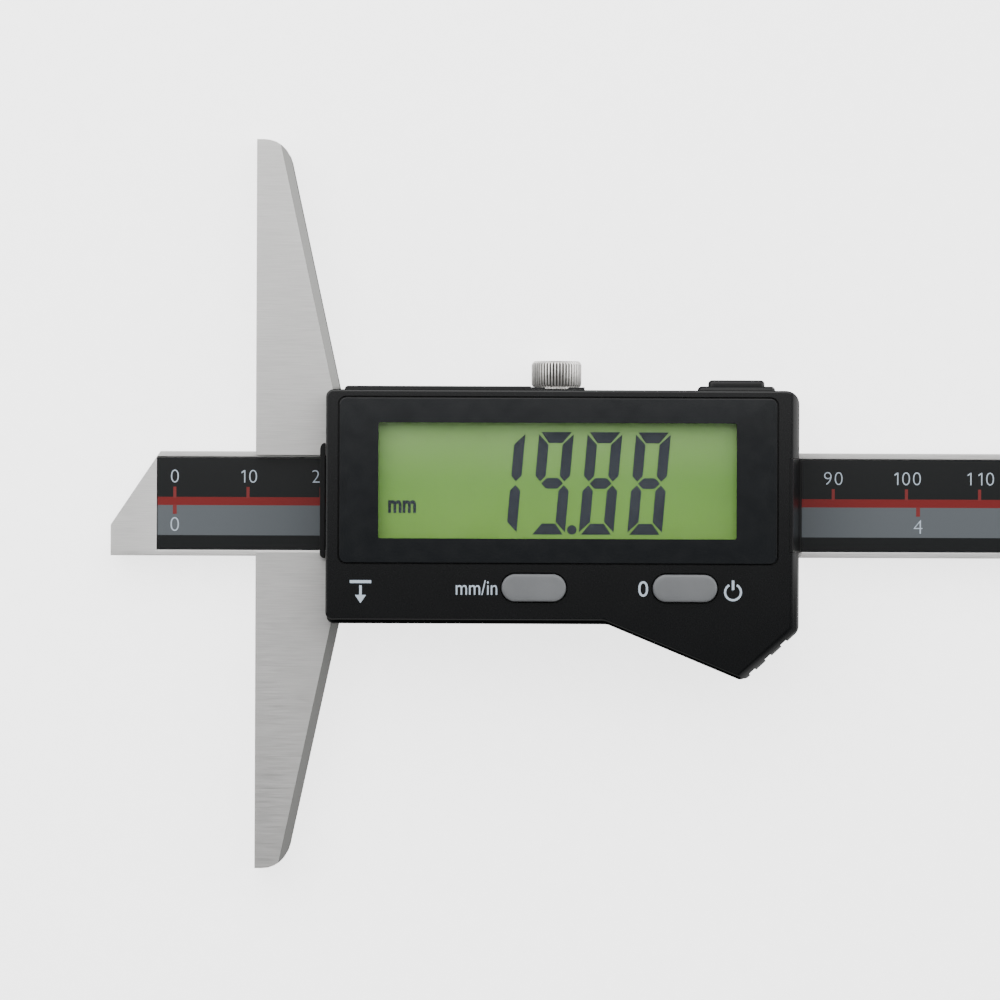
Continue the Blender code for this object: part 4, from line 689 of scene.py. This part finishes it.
# %% [markdown]
# ## Port plug
# The data port is closed by a rubber plug: a flange that lies on the housing's side, a raised grip
# on it and a tongue that fills the port. Each is a block whose edges are rounded in two steps, first
# its four corners and then the outer face's rim by a little less, so the second round never folds
# over the first. The three are then welded, as they leave the mould in one piece.

# %% Port plug
FLANGE_TOP, GRIP_TOP, PLUG_Z = 16.15, 17.0, 10.7


def pad(name, half_x, low, high, half_z, corner, rim):
    """A block on the port's axis with round corners and a softer round on its outer face."""
    low, high = (PORT - half_x, low, PLUG_Z - half_z), (PORT + half_x, high, PLUG_Z + half_z)
    made = rounded_block(name, low, high, corner, "Y", 6)
    round_edges(made, rim, lambda e: all(v.co.y / MM > high[1] - NEAR for v in e.verts), 5)
    return made


plug = pad("plug_moulded", 5.25, 15.56, FLANGE_TOP, 1.6, 0.7, 0.55)
grip = pad("grip", 3.82, 15.7, GRIP_TOP, 1.15, 0.7, 0.52)
tongue = pad("tongue", 3.8, 14.03, 15.7, 1.1, 0.3, 0.1)
combine(plug, [grip, tongue], "UNION")
dress(plug, black_rubber, "black_rubber", "port_plug", "port_plug")

# %% [markdown]
# ## Wipers
# Rubber blades close the slot where the beam leaves the housing. On the left a thin fin stands in
# front of the housing, with its upper corner drawn out. On the right a glossy blade falls steeply
# from the housing's front down to the beam, where it ends in a small lip. It is a block that is cut
# across at the lip's height, whose upper front edge is then pulled back to make the slope.

# %% Wipers
fin = block("wiper_left_moulded", (8.8, -7.4, 7.1), (9.5, 7.95, 8.9))
round_edges(fin, 0.62, lambda e: runs(e, "Z") and middle(e).x < 9)
open_mesh(fin)
pick("VERT", lambda v: middle(v).y > 7.3)
bpy.ops.transform.resize(value=(1, 1.55, 1), center_override=at(9.1, 7.3, 8))
close_mesh()
foot = block("foot", (9.1, -6.35, 7.2), (11.95, 6.35, 8.1))
tongue = block("tongue", (8.9, -6.55, 5.4), (11.85, 6.55, 7.8))
combine(fin, [foot, tongue], "UNION")
soften(fin, 0.06, 2)
dress(fin, black_rubber, "black_rubber", "slider", "left_wiper")

BLADE_BACK, BLADE_OUT, BLADE_TOP, LIP_TOP = 72.52, 74.56, 15.42, 6.3
# The slope's points, as heights and places, from above the lip to the housing's front.
SLOPE = ((7.0, 74.1), (7.1, 74.07), (BLADE_TOP, 73.0))
blade = block("wiper_right_moulded", (BLADE_BACK, -6.35, 5.4), (BLADE_OUT, 6.35, BLADE_TOP))
open_mesh(blade)
for z in (LIP_TOP, SLOPE[0][0], SLOPE[1][0]):
    cut((0, 0, z), (0, 0, 1))
for z, x in SLOPE:
    pick("VERT", lambda v: abs(middle(v).z - z) < NEAR and middle(v).x > 74)
    shift(x - BLADE_OUT, 0, 0)
pick("FACE", lambda f: f.normal.x < -0.9 and middle(f).z < 7.1)
draw_out(-1.1, 0, 0)
close_mesh()
round_edges(blade, 0.08, lambda e: runs(e, "Y") and middle(e).x > 72.9 and middle(e).z > 15, 3)
on_lip = lambda e: runs(e, "Y") and middle(e).x > 74.5 and abs(middle(e).z - LIP_TOP) < NEAR
round_edges(blade, 0.25, on_lip, 5)
dress(blade, blade_rubber, "wiper_gloss", "slider", "right_wiper")

# %% [markdown]
# ## Lock screw
# The head is straight-knurled: 48 grooves are rolled into its rim, and shade is painted into them
# to make them dark. A cylinder with three points to each groove is enough: every third line of
# points is drawn inwards. Both ends are cut across and narrowed to make the chamfers, and neck and
# shaft are drawn out of the underside. Which points lie deep in a groove is kept with the mesh, so
# its material can paint shade there.

# %% Lock screw
LOCK_X, LOCK_Z = 41.0, 3.55
HEAD_LOW, HEAD_HIGH, GROOVES, GROOVE_DEPTH, CHAMFER = 16.13, 19.63, 48, 0.24, 0.18
HEAD_RADIUS, NECK_RADIUS, SHAFT_RADIUS = 3.41, 3.05, 1.5
axis = at(LOCK_X, 0, LOCK_Z)


def round_axis(place):
    """How far a place is from the screw's axis, and which of the head's lines it lies on."""
    across, up = place.x - LOCK_X, place.z - LOCK_Z
    return math.hypot(across, up), round(math.atan2(up, across) / math.tau * GROOVES * 3)


screw = start(
    "lock_screw_knurled",
    bpy.ops.mesh.primitive_cylinder_add,
    vertices=GROOVES * 3,
    radius=HEAD_RADIUS * MM,
    depth=(HEAD_HIGH - HEAD_LOW) * MM,
    location=at(LOCK_X, (HEAD_LOW + HEAD_HIGH) / 2, LOCK_Z),
    rotation=(math.pi / 2, 0, 0),
)
open_mesh(screw)
for y in (HEAD_LOW + 0.25, HEAD_HIGH - 0.5, HEAD_HIGH - CHAMFER):
    cut((0, y, 0), (0, 1, 0))
sink = 1 - GROOVE_DEPTH / HEAD_RADIUS
pick("VERT", lambda v: round_axis(middle(v))[1] % 3 == 0)
bpy.ops.transform.resize(value=(sink, 1, sink), center_override=axis)
for y, share in ((HEAD_LOW, 0.95), (HEAD_HIGH - CHAMFER, 0.955), (HEAD_HIGH, 0.88)):
    pick("VERT", lambda v: abs(middle(v).y - y) < NEAR)
    bpy.ops.transform.resize(value=(share, 1, share), center_override=axis)
for radius, y in ((NECK_RADIUS, 15.83), (SHAFT_RADIUS, box_of("lock_screw")[0][1])):
    pick("FACE", lambda f: f.normal.y < -0.99 and len(f.verts) > 100)
    points = bmesh.from_edit_mesh(screw.data).verts
    reach = max(round_axis(middle(v))[0] for v in points if v.select)
    low_y = min(v.co.y for v in points) / MM
    bpy.ops.mesh.inset(thickness=NEAR * MM)
    narrow = radius / (reach - NEAR)
    bpy.ops.transform.resize(value=(narrow, 1, narrow), center_override=axis)
    draw_out(0, y - low_y, 0)
close_mesh()
# Points deep in a groove are marked, so the material paints shade on them.
dirt = screw.data.attributes.new("dirt", "FLOAT", "POINT")
for vertex in screw.data.vertices:
    place = middle(vertex)
    in_groove = round_axis(place)[1] % 3 == 0 and HEAD_LOW + 0.2 < place.y < HEAD_HIGH - 0.3
    dirt.data[vertex.index].value = 1.0 if in_groove else 0.0

# Knurled and plated steel: a painted highlight makes the lands pale, and painted shade makes the
# grooves dark and less metallic. A fine speckle mottles both.
knurled_steel, tree, shader, place = new_finish("Knurled steel, nickel plated")
depth = add(tree, "Attribute", {"attribute_name": "dirt"})
speck = add(tree, "TexNoise", {"Scale": 1 / (0.4 * MM), "Detail": 3.0}, {"Vector": place})
speck_and_shade = add(tree, "Math", {"operation": "MULTIPLY_ADD", 1: 0.3}, {0: speck, 2: depth.outputs["Fac"]})
# The pale stop is a painted highlight on the lands, and the dark stop is painted shade in the grooves.
stops = [(0.1, "#F4F2EF"), (0.45, "#A09E9A"), (0.9, "#32302D")]
shade = add(tree, "ValToRGB", {"stops": stops}, {"Fac": speck_and_shade})
settings = {"From Min": 0.2, "From Max": 0.8, "To Min": 1.0, "To Max": 0.1}
bare = add(tree, "MapRange", settings, {"Value": speck_and_shade})
wire(shader, {"Roughness": 0.36}, {"Base Color": shade, "Metallic": bare})
dress(screw, knurled_steel, "bright_steel", "lock_screw", "lock_screw")

# %% [markdown]
# ## The pane
# A clear acrylic pane closes the display. Its back is printed black except for the window, so its
# rim reads as a glossy black plate. Ink and acrylic touch, and no light comes back from between
# them, so rim and window are made as two pieces that fit: an opaque plate with a hole, and a clear
# slab in the hole. The slab casts no shadow, so the light reaches the display through it.

# %% Acrylic pane, clear and printed
# Cast acrylic: water-clear with a polished face.
acrylic, tree, shader, place = new_finish("Cast acrylic, clear")
haze = add(tree, "TexNoise", {"Scale": 1 / (8 * MM), "Detail": 2.0}, {"Vector": place})
gloss = add(tree, "MapRange", {**NOISE_SPAN, "To Min": 0.08, "To Max": 0.12}, {"Value": haze})
ACRYLIC_IOR = 1.49
clear = {"Transmission Weight": 1.0, "IOR": ACRYLIC_IOR, "Base Color": (1, 1, 1, 1)}
wire(shader, clear, {"Roughness": gloss})
# The same acrylic over dense black ink: nothing shows but its polished face.
printed = moulded("Cast acrylic, printed black behind", "#141618", "#16181A", 0.2, 0.02, 2.0, 0.001)
wire(printed.node_tree.nodes["Principled BSDF"], {"IOR": ACRYLIC_IOR})

PANE_BACK, PANE_FRONT = 14.45, 15.45
rim = rounded_block("pane_printed", (*pane_low[:2], PANE_BACK), (*pane_high[:2], PANE_FRONT), 0.9)
round_edges(rim, 0.08, lambda e: middle(e).z > PANE_FRONT - NEAR and not runs(e, "Z"), segments=2)
WINDOW_LOW, WINDOW_HIGH = (16.85, -4.62), (65.36, 11.08)
hole = rounded_block("hole", (*WINDOW_LOW, 14), (*WINDOW_HIGH, 16), 0.25, segments=4)
combine(rim, [hole])
pane = rounded_block("pane_clear", (*WINDOW_LOW, PANE_BACK), (*WINDOW_HIGH, PANE_FRONT), 0.25, segments=4)
pane.visible_shadow = False
dress(rim, printed, "window_pane", "slider", "window_pane")
dress(pane, acrylic, "window_pane", "slider")

# %% [markdown]
# ## The display
# Behind the window lies a liquid crystal cell with a green light plate. Its front is a satin
# polariser: yellow-green with a very fine grain, and with painted light at its top that makes up for
# the shade that the pane's printed rim casts there. The colour comes from a ramp over the cell's height.

# %% Display cell
polariser, tree, shader, place = new_finish("Satin polariser over a green cell")
height = add(tree, "SeparateXYZ", {}, {"Vector": place}).outputs["Y"]
level = add(tree, "MapRange", {"From Min": -4.7 * MM, "From Max": 11.1 * MM}, {"Value": height})
grain = add(tree, "TexNoise", {"Scale": 1 / (0.35 * MM), "Detail": 2.0}, {"Vector": place})
ripple = add(tree, "Math", {"operation": "MULTIPLY_ADD", 1: 0.22}, {0: grain, 2: level})
# The top stop is lighter: painted light against the shade of the pane's printed rim.
stops = [(0.1, "#669532"), (0.6, "#609034"), (1.0, "#719A4E")]
green = add(tree, "ValToRGB", {"stops": stops}, {"Fac": ripple})
wire(shader, {"Roughness": 0.4}, {"Base Color": green})
frame["nodes"]["lcd_glass"].material_slots[0].material = polariser
CELL_TOP = box_of("lcd_glass")[1][2]
print("display plane at", round(CELL_TOP, 2), "mm")

# %% [markdown]
# ## The seven strokes of a digit
# A digit of the display has seven strokes with mitred ends. Three of them are modelled: the top
# bar, the upper left side and the middle bar, each from a flat disc whose corners are moved and
# which is then extruded to a thin film. The others are mirrored copies. Each digit joins the
# strokes that it lights, and the whole reading leans to the right by 5 degrees.

# %% Digit strokes
STROKE, HALF_WIDTH, DIGIT_HEIGHT = 1.42, 2.36, 13.9
MIDLINE = DIGIT_HEIGHT / 2
FILM = 0.03


def film(name, points):
    """A thin flat shape: a disc primitive whose outline is moved to the given points in mm."""
    disc = bpy.ops.mesh.primitive_circle_add
    made = start(name, disc, vertices=len(points), radius=MM, fill_type="NGON")
    starts = [vertex.co.copy() for vertex in made.data.vertices]
    open_mesh(made)
    for corner, (x, y) in enumerate(points):
        pick("VERT", lambda v: v.index == corner)
        bpy.ops.transform.translate(value=Vector((x * MM, y * MM, 0)) - starts[corner])
    bpy.ops.mesh.select_all(action="SELECT")
    draw_out(0, 0, FILM)
    face_out()
    close_mesh()
    return made


inner = HALF_WIDTH - STROKE
top_bar = film("top_bar", [(-2.07, MIDLINE), (-0.92, 5.45), (0.92, 5.45), (2.07, MIDLINE)])
side_bar = film(
    "side_bar", [(-HALF_WIDTH, 6.66), (-HALF_WIDTH, 1.0), (-1.62, 0.24), (-inner, 1.0), (-inner, 5.24)]
)
mid_bar = film("mid_bar", [(-1.5, 0), (-0.78, -0.73), (0.78, -0.73), (1.5, 0), (0.78, 0.73), (-0.78, 0.73)])
strokes = {"top": top_bar, "middle": mid_bar, "upper_left": side_bar}
for name, source, scale in (
    ("bottom", "top", (1, -1, 1)),
    ("upper_right", "upper_left", (-1, 1, 1)),
    ("lower_left", "upper_left", (1, -1, 1)),
    ("lower_right", "upper_left", (-1, -1, 1)),
):
    made = strokes[name] = copy_of(strokes[source])
    made.scale = scale
    bpy.ops.object.transform_apply(scale=True)
    # Mirroring turned the faces inwards.
    open_mesh(made)
    face_out()
    close_mesh()
print("strokes:", sorted(strokes))

# %% [markdown]
# ## The reading
# The display shows 19.88, which is how far the beam stands out. Every digit is its own set of
# copies, moved to its cell. The digits, the round point and the small unit are joined as one film
# of dark crystal on top of the cell.

# %% Reading on the display
LIT = {
    "1": ("upper_right", "lower_right"),
    "9": ("top", "upper_left", "upper_right", "middle", "lower_right", "bottom"),
    "8": tuple(strokes),
}
LAST_X, PITCH, DIGITS_Y, LEAN = 54.12, 6.57, 2.9, math.tan(math.radians(4.95))


def place_flat(obj, x, y, z, lean=0.0):
    """Puts a flat piece's place into its mesh, leaning it to the right."""
    slant = Matrix.Identity(4)
    slant[0][1] = lean
    obj.data.transform(Matrix.Translation(at(x, y, z)) @ slant)
    return obj


def join(name, objects):
    """Joins pieces into one."""
    bpy.ops.object.select_all(action="DESELECT")
    for obj in objects:
        obj.select_set(True)
    bpy.context.view_layer.objects.active = objects[0]
    bpy.ops.object.join()
    objects[0].name = name
    return objects[0]


lit = []
for cell, digit in enumerate("1988"):
    x = LAST_X - MIDLINE * LEAN - (3 - cell) * PITCH
    for stroke in LIT[digit]:
        lit.append(place_flat(copy_of(strokes[stroke]), x, DIGITS_Y, CELL_TOP, LEAN))
for stroke in strokes.values():
    bpy.data.objects.remove(stroke)
point = start(
    "point",
    bpy.ops.mesh.primitive_cylinder_add,
    vertices=32,
    radius=0.65 * MM,
    depth=FILM * MM,
    location=at(43.08, -3.4, CELL_TOP + FILM / 2),
)
lit.append(point)
print("lit strokes and point:", len(lit))

# %% [markdown]
# ## Lettering
# All lettering is generic: scale numerals, the unit and the zero. A text object is turned into a
# mesh, fitted to a height or a box in millimetres, and only then set in its place, as a film of ink
# that is half sunk so its edge doesn't float.

# %% Lettering helper and the unit
def lettering(name, words, x, y, z, tall, wide=None, thick=0.02, bold=0.0, apart=1.0):
    """Words centred on a point, of a given height in mm, with a width, boldness or spacing if wanted."""
    bpy.ops.object.select_all(action="DESELECT")
    bpy.ops.object.text_add()
    line = bpy.context.object.data
    line.body, line.extrude, line.offset, line.space_character = words, thick * MM / 2, bold, apart
    bpy.ops.object.convert(target="MESH")
    made = bpy.context.object
    made.name = name
    spots = [v.co for v in made.data.vertices]
    low, high = (Vector([reach(spot[i] for spot in spots) for i in range(3)]) for reach in (min, max))
    grow_y = tall * MM / (high.y - low.y)
    grow_x = wide * MM / (high.x - low.x) if wide else grow_y
    centred = Matrix.Translation(-(low + high) / 2)
    made.data.transform(Matrix.Diagonal((grow_x, grow_y, 1, 1)) @ centred)
    made.data.transform(Matrix.Translation(at(x, y, z)))
    open_mesh(made)
    bpy.ops.mesh.select_all(action="SELECT")
    bpy.ops.mesh.remove_doubles(threshold=0.0005 * MM)
    close_mesh()
    return made


lit.append(lettering("unit", "mm", 20.06, -0.33, CELL_TOP + FILM / 2, 1.76, 3.8, FILM, 0.035))
reading = join("display_digits", lit)
# Switched liquid crystal: blue-grey, matt through the polariser.
crystal = moulded("Switched liquid crystal", "#32353C", "#373A41", 0.5, 0.04, 0.35, 0.001, 0.0)
dress(reading, crystal, "lcd_green", "slider")

# %% [markdown]
# ## The printed scales
# The beam carries a printed film: near black above, a red line, a grey band, and black again. The
# bands are a colour ramp with hard steps over the film's height. The film lies in the beam's
# trough, on the strip that the sensor reads.

# %% Scale film
label_low, label_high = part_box("scale_label")
film_print, tree, shader, place = new_finish("Printed polyester film, satin")
height = add(tree, "SeparateXYZ", {}, {"Vector": place}).outputs["Y"]
level = add(tree, "MapRange", {"From Min": label_low.y, "From Max": label_high.y}, {"Value": height})
RED_LOW, RED_HIGH, GREY_LOW = -0.28, 0.85, -4.37
share = [(y * MM - label_low.y) / (label_high.y - label_low.y) for y in (GREY_LOW, RED_LOW, RED_HIGH)]
stops = list(zip((0.0, *share), ("#101213", "#575C60", "#701C1C", "#101213")))
bands = add(tree, "ValToRGB", {"interpolation": "CONSTANT", "stops": stops}, {"Fac": level})
speckle = add(tree, "TexNoise", {"Scale": 1 / (0.3 * MM), "Detail": 2.0}, {"Vector": place})
gloss = add(tree, "MapRange", {**NOISE_SPAN, "To Min": 0.29, "To Max": 0.31}, {"Value": speckle})
wire(shader, {"Specular IOR Level": 0.42}, {"Base Color": bands, "Roughness": gloss})
frame["nodes"]["scale_label"].material_slots[0].material = film_print
print("band edges as shares of the film:", [round(s, 3) for s in share])

# %% [markdown]
# ## Ticks and numerals
# They are ink of their own on the film: millimetres above the red line, inches below it. One tick
# is made of each kind and copied along the beam. Numerals stand over the ticks. The one of the
# built-in font is a plain stroke, so it gets the slanted flag that it has on the real scale.

# %% Ticks and numerals
# Screen inks: a brick red and a cool grey-white.
red_ink = moulded("Screen ink, brick red", "#701C1C", "#751E1E", 0.4, 0.04, 0.3, 0.001)
white_ink = moulded("Screen ink, cool white", "#B4C2D0", "#BCC9D7", 0.45, 0.04, 0.3, 0.001)
LABEL_TOP = label_high.z / MM
ZERO, INCH = -11.12, 25.4
INK = 0.01


def ink_bar(name, low, high, z):
    """A flat bar of ink between two corners, half sunk in the surface at a height."""
    return block(name, (*low, z - INK), (*high, z + INK))


def comb(name, count, step, wide, low, high):
    """Ticks at equal steps: one is made, and the others are copies of it, joined in the end."""
    tick = ink_bar(name, (ZERO - wide / 2, low), (ZERO + wide / 2, high), LABEL_TOP)
    return join(name, [tick] + [copy_of(tick, (i * step, 0, 0)) for i in range(1, count)])


ticks = comb("ticks_mm", 21, 10, 0.42, RED_HIGH - 0.1, 2.27)
inch_ticks = comb("ticks_inch", 9, INCH, 0.53, -1.45, RED_LOW + 0.1)
dress(join("scale_ticks", [ticks, inch_ticks]), red_ink, "label_print", "beam")
FLAG, KERN = 0.36, 0.33


def numeral(words, x, y, tall):
    """Numerals over a tick, with a slanted flag on each one."""
    lean = FLAG / 2 if words[0] == "1" else 0
    made = lettering("n", words, x + lean, y, LABEL_TOP, tall, bold=-0.02, apart=1.12)
    sides = sorted((v.co.x - FACE) / MM for v in made.data.vertices)
    lefts = [sides[0], next((side for side in sides if side > sides[0] + 0.3 * tall), None)]
    ones = [left for letter, left in zip(words, lefts) if letter == "1"]
    for left in ones:
        if len(words) > 1:
            open_mesh(made)
            pick("VERT", lambda v: -NEAR < middle(v).x - left < 0.15 * tall)
            shift(KERN, 0, 0)
            close_mesh()
            left += KERN
        top = y + tall / 2
        flag = ink_bar("flag", (left - FLAG, top - 0.2), (left + 0.05, top), LABEL_TOP)
        open_mesh(flag)
        pick("VERT", lambda v: middle(v).x < left - 0.1)
        shift(0, -0.28, 0)
        close_mesh()
        made = join("n", [made, flag])
    return made


figures = [numeral(str(10 * i), ZERO + 10 * i, 3.72, 1.74) for i in range(21)]
figures += [numeral(str(i), ZERO + INCH * i, -2.84, 1.87) for i in range(9)]
dress(join("scale_figures", figures), white_ink, "label_print", "beam")

# %% [markdown]
# ## Marks on the housing
# Beside the keys stand plain printed marks: the units that the left key switches, a zero, and the
# usual power mark, a ring that is open at the top round a short bar. The ring is a circle whose top
# points are deleted and whose line is extruded inwards. At the left, a small pictogram shows what
# the tool does: a bar across and an arrow down from it.

# %% Marks on the cover
RING_X, RING_Y, RING_OUT, RING_IN, RING_GAP = 64.9, -11.75, 1.22, 0.93, 0.52
middle_of_ring = at(RING_X, RING_Y, FRONT - INK)
disc = bpy.ops.mesh.primitive_circle_add
ring = start("power_ring", disc, vertices=64, radius=RING_OUT * MM, location=middle_of_ring)
open_mesh(ring)
pick("VERT", lambda v: middle(v).y > RING_Y and abs(middle(v).x - RING_X) < RING_GAP)
bpy.ops.mesh.delete(type="VERT")
bpy.ops.mesh.select_all(action="SELECT")
bpy.ops.mesh.extrude_edges_move(TRANSFORM_OT_translate={"value": (0, 0, 0)})
shrink = RING_IN / RING_OUT
bpy.ops.transform.resize(value=(shrink, shrink, 1), center_override=middle_of_ring)
face_out()
close_mesh()
apply_modifier(ring, "SOLIDIFY", thickness=2 * INK * MM, offset=0)
ring.data.transform(Matrix.Translation((0, 0, INK * MM)))
bar = ink_bar("power_bar", (RING_X - 0.17, RING_Y + 0.3), (RING_X + 0.17, RING_Y + 1.58), FRONT)

# The depth pictogram: a bar, a stem and an arrow head, which is a three-cornered film.
MARK_X, MARK_Y = 14.5, -11.8
cross = ink_bar("mark_bar", (MARK_X - 1.45, MARK_Y + 1.1), (MARK_X + 1.45, MARK_Y + 1.5), FRONT)
stem = ink_bar("mark_stem", (MARK_X - 0.17, MARK_Y - 0.6), (MARK_X + 0.17, MARK_Y + 0.8), FRONT)
head = film("mark_head", [(0, -1.6), (0.75, -0.5), (-0.75, -0.5)])
place_flat(head, MARK_X, MARK_Y, FRONT - FILM / 2)
units = lettering("units", "mm/in", 30.2, -11.25, FRONT, 2.0, 5.6)
zero = lettering("zero", "0", 52.75, -11.35, FRONT, 2.1)
marks = [units, zero, ring, bar, cross, stem, head]
dress(join("cover_marks", marks), white_ink, "black_plastic", "slider")

# %% [markdown]
# ## The end

# %% Finish
import json
